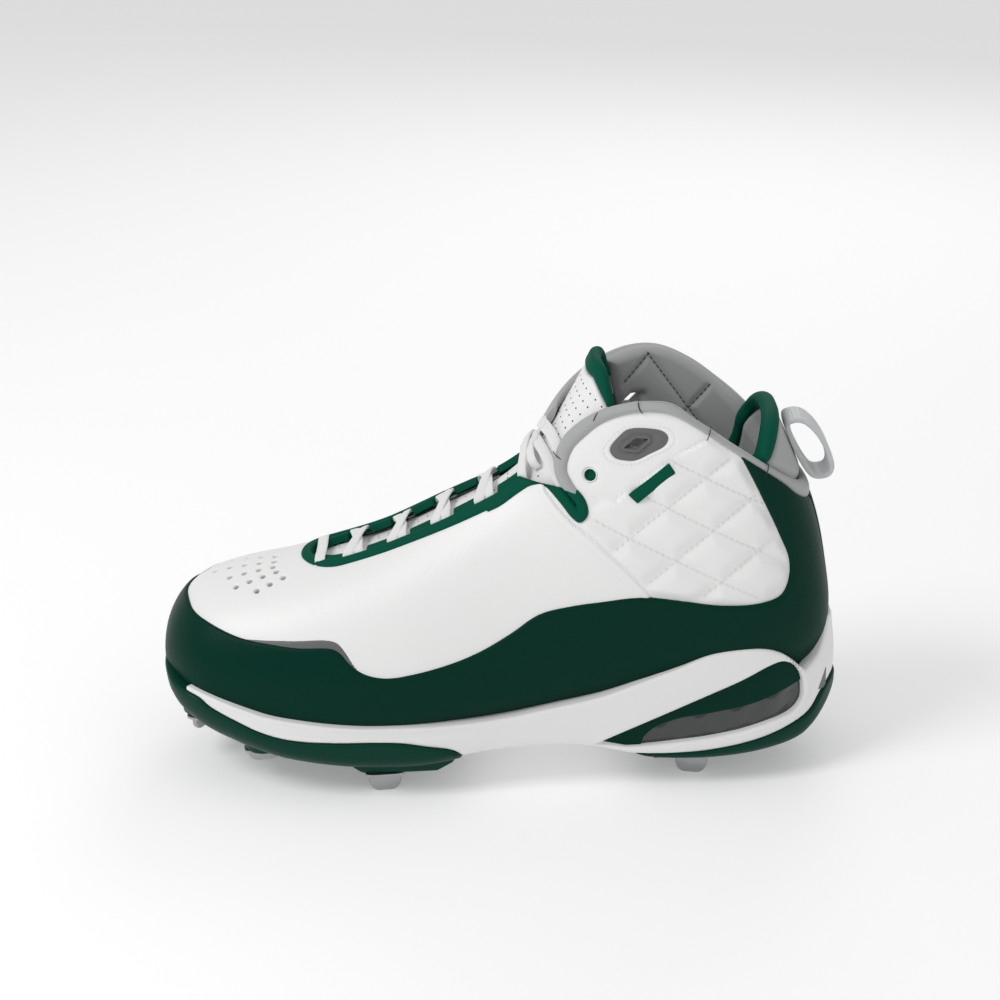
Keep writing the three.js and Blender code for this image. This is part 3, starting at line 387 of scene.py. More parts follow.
def last_point(place):
    back_x, back_z, front_x, front_z, widest, lateral, medial, low, high, shift = row_at(LAST, place[:, 0]).T
    s, c = np.sin(place[:, 1]), np.cos(place[:, 1])
    power = 2 / np.where(c >= 0, low, high)
    reach = np.abs(c) ** power
    along = np.where(c >= 0, widest * (1 - reach), widest + (1 - widest) * reach)
    width = np.where(s >= 0, lateral, medial)
    y = shift - np.sign(s) * width * np.abs(s) ** power
    crest = np.exp(-(((front_x / LENGTH - INSTEP_AT) / INSTEP_SPAN) ** 2)) * smoothstep(-c, 0.1, 0.8)
    rise = INSTEP_RISE * crest * (INSTEP_MIDDLE - (1 - INSTEP_MIDDLE) * np.clip(s * 2, -1, 1))
    return np.column_stack([
        back_x + (front_x - back_x) * along, y, back_z + (front_z - back_z) * along + rise,
    ])


SOLE_TOP = float(height_at(1.36))
WALL_LEAN = 2.2
WALL_LEAN_FROM = 46


def sole_outline():
    rows = np.array(SOLE_ROWS)
    half = half_width(rows[:, 0])
    x = rows[:, 0] * LENGTH
    outer = np.column_stack([x, -rows[:, 1] * half])
    inner = np.column_stack([x, rows[:, 2] * half])[::-1]
    toe = np.array([[x[0] - 0.35, (outer[0, 1] + inner[-1, 1]) / 2]])
    heel = np.array([[x[-1] + 0.35, 0.0]])
    line = rounded(np.vstack([toe, outer, heel, inner]), closed=True, steps=24)
    steps = np.linalg.norm(np.diff(np.vstack([line, line[:1]]), axis=0), axis=1)
    return np.vstack([line, line[:1]]), np.concatenate([[0], np.cumsum(steps)])


OUTLINE, OUTLINE_RUN = sole_outline()
ROUND = OUTLINE_RUN[-1]
SOLE_X = rounded(np.column_stack([np.array(SOLE_ROWS)[:, 0] * LENGTH,
                                  height_at(np.array(SOLE_ROWS)[:, 3])]))
SOLE_RISE = np.array([(row[0] * LENGTH, row[4] * LEVEL_HEIGHTS[1]) for row in SOLE_ROWS])


def outline_at(s):
    s = np.mod(s, ROUND)
    return np.column_stack([np.interp(s, OUTLINE_RUN, OUTLINE[:, k]) for k in (0, 1)])


def sole_point(place):
    """Places are a run along the outline and 0 to 1 down the wall, to 2 round the edge, to 3 inwards."""
    s, t = -place[:, 0], place[:, 1]
    here = outline_at(s)
    tangent = outline_at(s + 1.5) - outline_at(s - 1.5)
    inward = np.column_stack([-tangent[:, 1], tangent[:, 0]]) / np.linalg.norm(tangent, axis=1)[:, None]
    low = np.interp(here[:, 0], SOLE_X[:, 0], SOLE_X[:, 1])
    curl = np.interp(here[:, 0], SOLE_RISE[:, 0], SOLE_RISE[:, 1])
    edge = np.clip(t - 1, 0, 1) * math.pi / 2
    tuck = curl * 1.1 * (1 - np.cos(edge))
    z = SOLE_TOP + (low + curl - SOLE_TOP) * np.clip(t, 0, 1) - curl * np.sin(edge)
    lean = WALL_LEAN * smoothstep(z, WALL_LEAN_FROM, SOLE_TOP) ** 1.5
    xy = here + inward * (tuck + lean)[:, None]
    spine_x = np.clip(here[:, 0], 0.06 * LENGTH, 0.94 * LENGTH)
    share = np.clip(t - 2, 0, 1)
    spine_z = np.interp(spine_x, SOLE_X[:, 0], SOLE_X[:, 1])
    x = xy[:, 0] + (spine_x - xy[:, 0]) * share
    y = xy[:, 1] * (1 - share)
    return np.column_stack([x, y, z + (spine_z - z) * share])


def normals(surface, place, steps):
    forward = surface(place + [steps[0], 0]) - surface(place - [steps[0], 0])
    sideways = surface(place + [0, steps[1]]) - surface(place - [0, steps[1]])
    n = np.cross(forward, sideways)
    return n / np.maximum(np.linalg.norm(n, axis=1), 1e-9)[:, None]


LAST_TOP = len(LAST_ROWS) - 1


def last_normal(place):
    safe = np.column_stack([np.clip(place[:, 0], 0.05, LAST_TOP - 0.05), place[:, 1]])
    return normals(last_point, safe, (0.04, 0.03))


def sole_normal(place):
    safe = np.column_stack([place[:, 0], np.clip(place[:, 1], 0.05, 2.95)])
    return normals(sole_point, safe, (1.0, 0.04))


SURFACES = {"last": (last_point, last_normal), "sole": (sole_point, sole_normal)}


# Regions: each gives how far inside it a point lies, in mm, negative outside
def inside(outline, points):
    a = np.asarray(outline, float)
    b = np.roll(a, -1, axis=0)
    edge = b - a
    size = np.maximum((edge**2).sum(1), 1e-12)
    out = np.empty(len(points))
    for start in range(0, len(points), 8000):
        p = points[start:start + 8000, None, :]
        t = np.clip(((p - a) * edge).sum(2) / size, 0, 1)
        away = p - (a + t[..., None] * edge)
        distance = np.sqrt((away**2).sum(2).min(1))
        over = (a[:, 1] > p[..., 1]) != (b[:, 1] > p[..., 1])
        rise = np.where(np.abs(edge[:, 1]) < 1e-12, 1e-12, edge[:, 1])
        hit = over & (p[..., 0] < a[:, 0] + (p[..., 1] - a[:, 1]) / rise * edge[:, 0])
        out[start:start + 8000] = np.where(hit.sum(1) % 2 == 1, distance, -distance)
    return out


SKY = float(height_at(4.6))
BEHIND = 1.06 * LENGTH
BELOW = -20.0


def side_region(lateral, medial=None, blend=0.01):
    """A region given in side view, by one outline or by one for each side, blended over the middle."""
    def field(p):
        flat = p[:, [0, 2]]
        if medial is None:
            return inside(lateral, flat)
        value = np.empty(len(p))
        outer, inner = p[:, 1] < blend, p[:, 1] > -blend
        value[outer] = inside(lateral, flat[outer])
        inner_value = inside(medial, flat[inner])
        share = smoothstep(p[inner, 1], -blend, blend)
        mixed = np.where(outer[inner], value[inner], inner_value)
        value[inner] = mixed * (1 - share) + inner_value * share
        return value
    return field


def one_side(field, side):
    return lambda p: np.minimum(field(p), p[:, 1] * side)


def plan_region(outline, floor):
    return lambda p: np.minimum(inside(outline, p[:, :2]), p[:, 2] - floor)


def either(*fields):
    return lambda p: np.max([f(p) for f in fields], axis=0)


def both(*fields):
    return lambda p: np.min([f(p) for f in fields], axis=0)


def outside(field, distance=0.0):
    return lambda p: -field(p) - distance


def above(points, corner=None):
    """The region over a line; a corner in it, if any, stays sharp."""
    line = smooth_side(points, corner)
    return np.vstack([line, [[BEHIND, line[-1, 1] - 1], [BEHIND, SKY], [line[0, 0], SKY]]])


def under(points, corner=None):
    line = smooth_side(points, corner)
    return np.vstack([line, [[line[-1, 0], BELOW], [line[0, 0], BELOW]]])


def smooth_side(points, corner=None):
    line = side_line(points)
    if corner is None:
        return rounded(line)
    return np.vstack([rounded(line[:corner + 1]), rounded(line[corner:])[1:]])


def throat_outline(grow):
    half, nose = THROAT_HALF + grow, THROAT_NOSE + grow
    middle = THROAT_FRONT * LENGTH + THROAT_NOSE
    rear = THROAT_REAR * LENGTH
    angle = np.linspace(math.pi / 2, 3 * math.pi / 2, 33)
    arc = np.column_stack([middle + nose * np.cos(angle), THROAT_CENTRE + half * np.sin(angle)])
    return np.vstack([arc, [[rear, THROAT_CENTRE - half], [rear, THROAT_CENTRE + half]]])


THROAT_FLOOR = float(height_at(1.35))


def throat(grow=0.0):
    return plan_region(throat_outline(grow), THROAT_FLOOR)


# Patches: parts of a surface, cut along the border of a region
SNAP = 0.04


def spread(rows, spacing, finer=None):
    """Places along the first direction no further apart than the spacing."""
    fine = np.linspace(rows[0], rows[1], 1200)
    run = np.zeros(len(fine) - 1)
    for angle in (0.05, math.pi / 2, math.pi * 0.99, 1.5 * math.pi):
        p = last_point(np.column_stack([fine, np.full(len(fine), angle)]))
        run = np.maximum(run, np.linalg.norm(np.diff(p, axis=0), axis=1))
    density = run / spacing
    if finer is not None:
        x = LAST[:, 0][np.minimum(fine[:-1].astype(int), LAST_TOP)] / LENGTH
        density = density * np.where((x > finer[0]) & (x < finer[1]), finer[2], 1)
    total = np.concatenate([[0], np.cumsum(density)])
    return np.interp(np.linspace(0, total[-1], int(math.ceil(total[-1])) + 1), total, fine)


def spread_round(start, spacing, finer=None):
    fine = np.linspace(start, start + 2 * math.pi, 2400)
    run = np.zeros(len(fine) - 1)
    for row in (7.0, 12.0, 16.0):
        p = last_point(np.column_stack([np.full(len(fine), row), fine]))
        run = np.maximum(run, np.linalg.norm(np.diff(p, axis=0), axis=1))
    density = run / spacing
    if finer is not None:
        turn = np.abs(np.mod(fine[:-1], 2 * math.pi) - math.pi)
        density = density * np.where(turn < finer[0], finer[1], 1)
    total = np.concatenate([[0], np.cumsum(density)])
    return np.interp(np.linspace(0, total[-1], int(math.ceil(total[-1])) + 1), total, fine)


def grid(first, second):
    u, a = np.meshgrid(first, second, indexing="ij")
    place = np.column_stack([u.ravel(), a.ravel()])
    columns = len(second)
    i, j = np.meshgrid(np.arange(len(first) - 1), np.arange(columns - 1), indexing="ij")
    k = (i * columns + j).ravel()
    faces = np.vstack([
        np.column_stack([k, k + columns, k + columns + 1]), np.column_stack([k, k + columns + 1, k + 1]),
    ])
    return place, faces


def split(place, faces, values):
    """Cuts the triangles along the line where the values are zero."""
    v = np.where(np.abs(values) < SNAP, 0.0, values)
    sign = np.sign(v)[faces]
    crossed = sign * np.roll(sign, -1, axis=1) < 0
    count = crossed.sum(1)
    if not crossed.any():
        return place, faces, v
    starts, ends = faces, np.roll(faces, -1, axis=1)
    low = np.minimum(starts, ends)[crossed].astype(np.int64)
    high = np.maximum(starts, ends)[crossed].astype(np.int64)
    keys, index = np.unique(low * len(v) + high, return_inverse=True)
    low, high = keys // len(v), keys % len(v)
    share = (v[low] / (v[low] - v[high]))[:, None]
    added = place[low] * (1 - share) + place[high] * share
    number = np.zeros(faces.shape, np.int64)
    number[crossed] = len(v) + index.ravel()
    two = np.where(count == 2)[0]
    lone = np.argmax(crossed[two] & np.roll(crossed[two], 1, axis=1), axis=1)
    f, n = faces[two], number[two]
    pick = np.arange(len(two))
    here, after, before = f[pick, lone], f[pick, (lone + 1) % 3], f[pick, (lone + 2) % 3]
    leave, enter = n[pick, lone], n[pick, (lone + 2) % 3]
    one = np.where(count == 1)[0]
    k = np.argmax(crossed[one], axis=1)
    g, m = faces[one], number[one]
    pick = np.arange(len(one))
    a, b, c, middle = g[pick, k], g[pick, (k + 1) % 3], g[pick, (k + 2) % 3], m[pick, k]
    made = np.vstack([
        faces[count == 0],
        np.column_stack([here, leave, enter]), np.column_stack([leave, after, before]),
        np.column_stack([leave, before, enter]), np.column_stack([a, middle, c]),
        np.column_stack([middle, b, c]),
    ])
    return np.vstack([place, added]), made, np.concatenate([v, np.zeros(len(added))])


def compact(place, faces, values):
    used, index = np.unique(faces, return_inverse=True)
    return place[used], index.reshape(faces.shape), values[used]


def cut_patch(surface, place, faces, field, levels=()):
    """The part of the grid inside the region, with lines of points at the given depths inside its border."""
    values = field(surface(place))
    near = values[faces].max(1) > 0
    place, faces, values = compact(place, faces[near], values)
    place, faces, values = split(place, faces, values)
    place, faces, values = compact(place, faces[values[faces].max(1) > 0], values)
    for level in levels:
        before = len(values)
        place, faces, shifted = split(place, faces, values - level)
        values = np.concatenate([values, shifted[before:] + level])
        values = np.where(shifted == 0, level, values)
    return place, faces, values


def border(faces):
    edges = np.vstack([faces[:, [0, 1]], faces[:, [1, 2]], faces[:, [2, 0]]]).astype(np.int64)
    size = edges.max() + 1
    forward = edges[:, 0] * size + edges[:, 1]
    backward = edges[:, 1] * size + edges[:, 0]
    return edges[~np.isin(forward, backward)]


def bulge(depth, radius):
    """A quarter circle: 0 at the border, 1 from the radius inwards."""
    return np.sqrt(np.clip(1 - (1 - np.clip(depth / radius, 0, 1)) ** 2, 0, 1))


# Materials
MATERIALS = {}


def node_of(material, kind, **inputs):
    node = material.node_tree.nodes.new(kind)
    for key, value in inputs.items():
        node.inputs[key.replace("_", " ")].default_value = value
    return node


def make_material(name, colour, roughness, grain=None, weave=None, **sockets):
    """grain is (scale per metre, strength, depth in metres) of a fine pebbled bump, weave that of a cloth."""
    material = bpy.data.materials.new(name)
    material.use_nodes = True
    tree = material.node_tree
    shader = tree.nodes["Principled BSDF"]
    shader.inputs["Base Color"].default_value = (*colour, 1)
    shader.inputs["Roughness"].default_value = roughness
    for key, value in sockets.items():
        shader.inputs[key.replace("_", " ")].default_value = value
    place = tree.nodes.new("ShaderNodeTexCoord").outputs["Object"]
    relief = None
    if grain:
        scale, strength, depth = grain
        cells = node_of(material, "ShaderNodeTexVoronoi", Scale=scale)
        cells.feature = "SMOOTH_F1"
        clouds = node_of(material, "ShaderNodeTexNoise", Scale=scale * 0.21, Detail=4.0)
        mixed = tree.nodes.new("ShaderNodeMath")
        mixed.operation = "ADD"
        tree.links.new(place, cells.inputs["Vector"])
        tree.links.new(place, clouds.inputs["Vector"])
        tree.links.new(cells.outputs["Distance"], mixed.inputs[0])
        tree.links.new(clouds.outputs["Fac"], mixed.inputs[1])
        relief = mixed.outputs[0]
    if weave:
        scale, strength, depth = weave
        waves = []
        for direction in ("X", "Z"):
            wave = node_of(material, "ShaderNodeTexWave", Scale=scale, Distortion=1.2, Detail=2.0)
            wave.bands_direction = direction
            wave.inputs["Detail Scale"].default_value = 2.0
            tree.links.new(place, wave.inputs["Vector"])
            waves.append(wave.outputs["Fac"])
        mixed = tree.nodes.new("ShaderNodeMath")
        mixed.operation = "MULTIPLY"
        tree.links.new(waves[0], mixed.inputs[0])
        tree.links.new(waves[1], mixed.inputs[1])
        relief = mixed.outputs[0]
    if relief is not None:
        bump = node_of(material, "ShaderNodeBump", Strength=strength, Distance=depth)
        tree.links.new(relief, bump.inputs["Height"])
        tree.links.new(bump.outputs["Normal"], shader.inputs["Normal"])
    MATERIALS[name] = material
    return material


def make_materials():
    make_material("white_leather", (0.86, 0.86, 0.855), 0.42, grain=(1500, 0.22, 0.0003))
    make_material("green_gloss", (0.0002, 0.03, 0.019), 0.42, grain=(900, 0.25, 0.0004),
                  Specular_IOR_Level=0.07)
    make_material("green_piping", (0.0006, 0.08, 0.048), 0.6, weave=(1500, 0.25, 0.0002),
                  Specular_IOR_Level=0.07)
    make_material("dark_grey_trim", (0.125, 0.125, 0.127), 0.45, grain=(1800, 0.12, 0.0002))
    make_material("light_grey_panel", (0.56, 0.6, 0.595), 0.42, grain=(1500, 0.2, 0.0003))
    make_material("grey_lining", (0.4, 0.41, 0.405), 0.85, weave=(2200, 0.22, 0.0002), Sheen_Weight=0.25)
    make_material("grey_footbed", (0.25, 0.26, 0.26), 0.9, weave=(1300, 0.35, 0.0003), Sheen_Weight=0.2)
    make_material("webbing", (0.66, 0.68, 0.69), 0.75, weave=(900, 0.6, 0.0004), Sheen_Weight=0.2)
    make_material("lace", (0.87, 0.87, 0.865), 0.8, weave=(1100, 0.5, 0.0003), Sheen_Weight=0.2)
    make_material("white_midsole", (0.82, 0.82, 0.815), 0.4, grain=(700, 0.1, 0.0002))
    make_material("smoked_air", (0.02, 0.028, 0.025), 0.14, Coat_Weight=0.6, Coat_Roughness=0.08)
    make_material("green_outsole", (0.0004, 0.04, 0.025), 0.4, grain=(1100, 0.12, 0.0003),
                  Specular_IOR_Level=0.12)
    make_material("stud_metal", (0.42, 0.42, 0.43), 0.36, grain=(2600, 0.1, 0.0001), Metallic=0.85)
    make_material("thread_green", (0.001, 0.03, 0.018), 0.7)
    make_material("thread_white", (0.8, 0.8, 0.79), 0.6)
    # Near-black painted shade, for holes whose insides lie in shade
    make_material("hole_dark", (0.012, 0.012, 0.012), 0.9)
    make_material("vent_rim", (0.5, 0.51, 0.51), 0.4)


# Building pieces
SHARP_ANGLE = math.radians(42)


def add_piece(name, points, faces, material, nodes=(), slot=None):
    mesh = bpy.data.meshes.new(name)
    mesh.from_pydata(((points + ORIGIN) / 1000).tolist(), [], [list(map(int, face)) for face in faces])
    mesh.validate()
    mesh.polygons.foreach_set("use_smooth", [True] * len(mesh.polygons))
    mesh.set_sharp_from_angle(angle=SHARP_ANGLE)
    mesh.materials.append(MATERIALS[material])
    piece = bpy.data.objects.new(name, mesh)
    bpy.context.scene.collection.objects.link(piece)
    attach(piece, "root")
    if nodes:
        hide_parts(*nodes)
    return piece


def ring_faces(count, sides, outward=True):
    """The quads between closed rings of points that follow one another."""
    faces = []
    for i in range(count - 1):
        for j in range(sides):
            near, far = i * sides, (i + 1) * sides
            following = (j + 1) % sides
            if outward:
                faces.append((near + j, far + j, far + following, near + following))
            else:
                faces.append((near + j, near + following, far + following, far + j))
    return faces


def joined(parts):
    points, faces, start = [], [], 0
    for p, f in parts:
        points.append(p)
        faces.extend([[int(k) + start for k in face] for face in f])
        start += len(p)
    return np.vstack(points), faces


def sheet(surface_name, places, field, outer, inner, levels=(), relief=None, back=True, shift=None):
    """A sheet of a surface inside a region, from its outer to its inner offset, both functions of the depth
    inside the border. Returns points and faces."""
    surface, normal = SURFACES[surface_name]
    place, faces, depth = cut_patch(surface, *places, field, levels)
    base, n = surface(place), normal(place)
    if shift is not None:
        moved = base + n * shift(base)[:, None]
    else:
        moved = base
    out = outer(depth)
    if relief is not None:
        out = out + relief(base, depth)
    top = moved + n * out[:, None]
    rim = border(faces)
    if back:
        low = moved + n * inner(depth)[:, None]
        walls = rim + [0, 0]
        count = len(top)
        all_faces = np.vstack([
            faces, faces[:, ::-1] + count,
            np.column_stack([walls[:, 1], walls[:, 0], walls[:, 0] + count]),
            np.column_stack([walls[:, 1], walls[:, 0] + count, walls[:, 1] + count]),
        ])
        return np.vstack([top, low]), all_faces
    used, index = np.unique(rim, return_inverse=True)
    index = index.reshape(rim.shape) + len(top)
    low = moved[used] + n[used] * inner(depth[used])[:, None]
    all_faces = np.vstack([
        faces, np.column_stack([rim[:, 1], rim[:, 0], index[:, 0]]),
        np.column_stack([rim[:, 1], index[:, 0], index[:, 1]]),
    ])
    return np.vstack([top, low]), all_faces


def last_grid(start, end, spacing, seam=0.0, finer_x=None, finer_round=None):
    return grid(spread((start, end), spacing, finer_x), spread_round(seam, spacing, finer_round))


def sole_grid(spacing, seam=0.0):
    columns = int(ROUND / spacing)
    rows = np.concatenate([
        np.linspace(0, 1, int(62 / spacing)), np.linspace(1, 2, 8)[1:], np.linspace(2, 3, 14)[1:],
    ])
    return grid(np.linspace(seam, seam + ROUND, columns + 1), rows)


def flat(value):
    return lambda depth: np.full(len(depth), float(value))


def edge_profile(value, base, radius):
    """A layer of the given offset whose border is rounded down to the base."""
    return lambda depth: base + (value - base) * bulge(depth, radius)


# Finding places on the last from a view of it
FINDER_PLACE, _ = grid(np.linspace(0.3, LAST_TOP - 0.5, 150), np.linspace(0.05, 2 * math.pi - 0.05, 200))
FINDER_POINT = last_point(FINDER_PLACE)


def find_places(targets, axes, chosen):
    """Places on the last whose two coordinates are the targets, among the chosen grid points."""
    targets = np.asarray(targets, float)
    candidates = FINDER_PLACE[chosen(FINDER_POINT)]
    points = FINDER_POINT[chosen(FINDER_POINT)][:, axes]
    nearest = [np.argmin(((points - target) ** 2).sum(1)) for target in targets]
    place = candidates[nearest].copy()
    for _ in range(6):
        here = last_point(place)[:, axes]
        du = (last_point(place + [0.01, 0])[:, axes] - here) / 0.01
        da = (last_point(place + [0, 0.01])[:, axes] - here) / 0.01
        miss = targets - here
        size = du[:, 0] * da[:, 1] - du[:, 1] * da[:, 0]
        size = np.where(np.abs(size) < 1e-3, 1e-3, size)
        move_u = (miss[:, 0] * da[:, 1] - miss[:, 1] * da[:, 0]) / size
        move_a = (du[:, 0] * miss[:, 1] - du[:, 1] * miss[:, 0]) / size
        place[:, 0] = np.clip(place[:, 0] + np.clip(move_u, -0.4, 0.4), 0.1, LAST_TOP - 0.1)
        place[:, 1] += np.clip(move_a, -0.2, 0.2)
    return place


def on_side(targets, side):
    return find_places(targets, [0, 2], lambda p: p[:, 1] * side > 2)


def on_top(targets):
    def upward(p):
        angle = FINDER_PLACE[:, 1]
        return (angle > 0.55 * math.pi) & (angle < 1.45 * math.pi) & (p[:, 0] < 0.62 * LENGTH)

    return find_places(targets, [0, 1], upward)


def along_path(points, pitch):
    points = np.asarray(points, float)
    run = np.concatenate([[0], np.cumsum(np.linalg.norm(np.diff(points, axis=0), axis=1))])
    count = max(int(round(run[-1] / pitch)), 1)
    at = (np.arange(count) + 0.5) * run[-1] / count
    return np.column_stack([np.interp(at, run, points[:, k]) for k in range(points.shape[1])])


# Threads
def stitch_row(centres, directions, ups, length, radius):
    """Short rounded stitches lying along the directions."""
    directions = directions / np.linalg.norm(directions, axis=1)[:, None]
    sides = np.cross(directions, ups)
    sides = sides / np.linalg.norm(sides, axis=1)[:, None]
    ups = np.cross(sides, directions)
    angles = np.arange(5) * 2 * math.pi / 5
    rings = [(-0.5, 0.05), (-0.34, 1.0), (0.34, 1.0), (0.5, 0.05)]
    points = []
    for share, size in rings:
        for angle in angles:
            points.append(centres + directions * length * share
                          + sides * radius * size * math.cos(angle) + ups * radius * size * math.sin(angle))
    points = np.stack(points, axis=1).reshape(-1, 3)
    pattern = []
    for ring in range(3):
        for k in range(5):
            a, b = ring * 5 + k, ring * 5 + (k + 1) % 5
            pattern.append((a, b, b + 5, a + 5))
    faces = [[k + stitch * 20 for k in quad] for stitch in range(len(centres)) for quad in pattern]
    return points, faces


def stitches_on(targets, finder, offset, pitch=2.6, length=1.8, radius=0.28):
    """A row of stitches along a line given in a view of the last."""
    fine = along_path(targets, 1.0)
    place = finder(fine)
    line = last_point(place) + last_normal(place) * offset
    spots = along_path(np.column_stack([line, last_normal(place)]), pitch)
    centres, ups = spots[:, :3], spots[:, 3:]
    if len(centres) < 3:
        return None
    return stitch_row(centres, np.gradient(centres, axis=0), ups, length, radius)


# Quilting: how deep a point lies between the crossing lines of a lattice
def quilt_distance(points, quilt):
    x0, level = quilt["crossing"]
    along, across = np.array(quilt["along"]), np.array(quilt["across"])
    size = along[0] * across[1] - along[1] * across[0]
    dx, dz = points[:, 0] - x0 * LENGTH, points[:, 2] - float(height_at(level))
    first = (dx * across[1] - dz * across[0]) / size
    second = (dz * along[0] - dx * along[1]) / size
    gap_first = np.abs(first - np.round(first)) * abs(size) / np.linalg.norm(across)
    gap_second = np.abs(second - np.round(second)) * abs(size) / np.linalg.norm(along)
    return np.minimum(gap_first, gap_second)


def quilt_lines(quilt, reach):
    """The lattice's lines as pairs of points (x, z)."""
    x0, level = quilt["crossing"]
    origin = np.array([x0 * LENGTH, float(height_at(level))])
    along, across = np.array(quilt["along"]), np.array(quilt["across"])
    lines = []
    for k in range(-reach, reach + 1):
        lines.append((origin + k * along - reach * across, origin + k * along + reach * across))
        lines.append((origin + k * across - reach * along, origin + k * across + reach * along))
    return lines


# Shared regions
collar_lateral = above(COLLAR_LATERAL)
collar_medial = above(COLLAR_MEDIAL)
open_top = either(side_region(collar_lateral, collar_medial), throat())
badge_outline = rounded(side_line(BADGE), closed=True)
in_badge = side_region(badge_outline)
in_diamond = side_region(side_line(DIAMOND))
eyelet_spot = side_line([EYELET])[0]
seam_line = rounded(side_line(VAMP_SEAM))
vamp_outline = np.vstack([
    seam_line, [[seam_line[-1, 0], BELOW], [-20, BELOW], [-20, SKY], [seam_line[0, 0], SKY]],
])
in_vamp = side_region(vamp_outline)
panel_line = side_line(ANKLE_PANEL)
in_panel = side_region(np.vstack([panel_line, [[panel_line[-1, 0], SKY], [panel_line[0, 0], SKY]]]))
medial_foxing = FOXING_TOE_MEDIAL + FOXING_TOP_LATERAL[FOXING_SHARED_FROM:]


def eyelet_region(p):
    return EYELET_RADIUS - np.hypot(p[:, 0] - eyelet_spot[0], p[:, 2] - eyelet_spot[1])


def vent_spots():
    spots = []
    for x, y, step_x, step_y, count in VENT_ROWS:
        for k in range(count):
            spots.append(((x + k * step_x) * LENGTH, (y + k * step_y) * BALL_WIDTH / 2))
    return np.array(spots)


VENTS = vent_spots()
VENT_POINTS = last_point(on_top(VENTS))


def vent_region(p):
    value = np.full(len(p), -50.0)
    near = np.where((p[:, 0] < 0.22 * LENGTH) & (p[:, 2] > LEVEL_HEIGHTS[1]))[0]
    away = np.linalg.norm(p[near][:, None, :] - VENT_POINTS[None], axis=2).min(1)
    value[near] = VENT_RADIUS - away
    return value


def sole_hidden(p):
    """Inside the shoe's underside, where the sole closes the upper."""
    return float(height_at(0.93)) - p[:, 2]


def make_upper():
    field = both(
        outside(open_top), outside(in_badge), outside(eyelet_region), outside(vent_region),
        outside(lambda p: np.minimum(sole_hidden(p), 12)),
    )
    guard = foxing_field()

    def relief(p, depth):
        vamp = in_vamp(p)
        step = 0.75 * bulge(np.clip(vamp, 0, None), 0.9)
        seam = -0.35 * np.exp(-(((vamp + 0.5) / 0.6) ** 2)) - 0.18 * np.exp(-(((vamp - 3.2) / 0.5) ** 2))
        panel = in_panel(p)
        away = quilt_distance(p, ANKLE_QUILT)
        room = smoothstep(-vamp, 0.5, 3.0) * smoothstep(-panel, 0.2, 2.5) * smoothstep(-guard(p), 0.4, 4.5)
        puff = (1.7 * (1 - np.exp(-((away / 3.6) ** 2))) - 0.25 * np.exp(-((away / 0.5) ** 2))) * room
        ledge = 0.35 * smoothstep(panel, -0.4, 0.6) * smoothstep(-vamp, 0, 1)
        badge = in_badge(p)
        rim = -0.3 * np.exp(-(((badge + 2.6) / 0.7) ** 2))
        soft = smoothstep(depth, 0, 4)
        return step + seam * soft + puff * soft + ledge * soft + rim

    outer = edge_profile(0.0, -0.9, 0.9)
    fine = last_grid(0, 21.4, 1.3, finer_x=(0.04, 0.2, 1.7), finer_round=(0.55, 1.7))
    skin = sheet("last", fine, field, outer, flat(-UPPER_WALL), (0.12, 0.4, 0.9), relief, back=False)
    coarse = last_grid(0.3, 21.4, 3.2)
    inner = sheet("last", coarse, field, flat(-UPPER_WALL), flat(-UPPER_WALL + 0.4), back=False)
    inner = (inner[0], inner[1][:, ::-1])
    points, faces = joined([skin, inner])
    add_piece("upper_shell", points, faces, "white_leather", ["upper"], "white_leather")

    # A near-black sheet behind the toe vents: painted shade seen through the holes
    def behind_vents(p):
        floor = p[:, 2] - float(height_at(1.3))
        return np.min([0.2 * LENGTH - p[:, 0], p[:, 0] - 0.04 * LENGTH, floor], axis=0)

    shade_patch = sheet("last", last_grid(1.0, 6.0, 3.0), behind_vents, flat(-1.9), flat(-2.1), back=False)
    add_piece("vent_shade_sheet", *shade_patch, "hole_dark")


def foxing_field():
    def outline(points):
        top = rounded(side_line(points))
        low = rounded(side_line(MIDSOLE_TOP[:16]))[::-1] - [0, 6]
        return np.vstack([
            top, [[top[-1, 0], SKY], [BEHIND, SKY], [BEHIND, float(height_at(1.1))],
                  [0.93 * LENGTH, float(height_at(1.05))]],
            low, [[-0.02 * LENGTH, low[-1, 1]]],
        ])

    return both(side_region(outline(FOXING_TOP_LATERAL), outline(medial_foxing), 12), outside(open_top))


STRIPE_CENTRE = 6.4
STRIPE_HALF = 1.3


def heel_stripe(p):
    """Two slim gaps in the mudguard up the back of the heel, through which the upper shows."""
    low, high = float(height_at(1.42)), float(height_at(2.0))
    share = np.clip((p[:, 2] - low) / (high - low), 0, 1)
    across = STRIPE_HALF * share - np.abs(np.abs(p[:, 1]) - STRIPE_CENTRE - 1.6 * share)
    return np.minimum(across, np.minimum(p[:, 2] - low, p[:, 0] - 0.9 * LENGTH))


def make_foxing():
    field = both(foxing_field(), outside(heel_stripe))
    outer = edge_profile(FOXING_OUT, 0.35, 1.3)
    points, faces = sheet("last", last_grid(0, 20, 1.45, seam=-math.pi), field, outer, flat(-0.4),
                          (0.15, 0.5, 1.3), back=False)
    add_piece("mudguard", points, faces, "green_gloss", ["foxing"], "green_gloss")


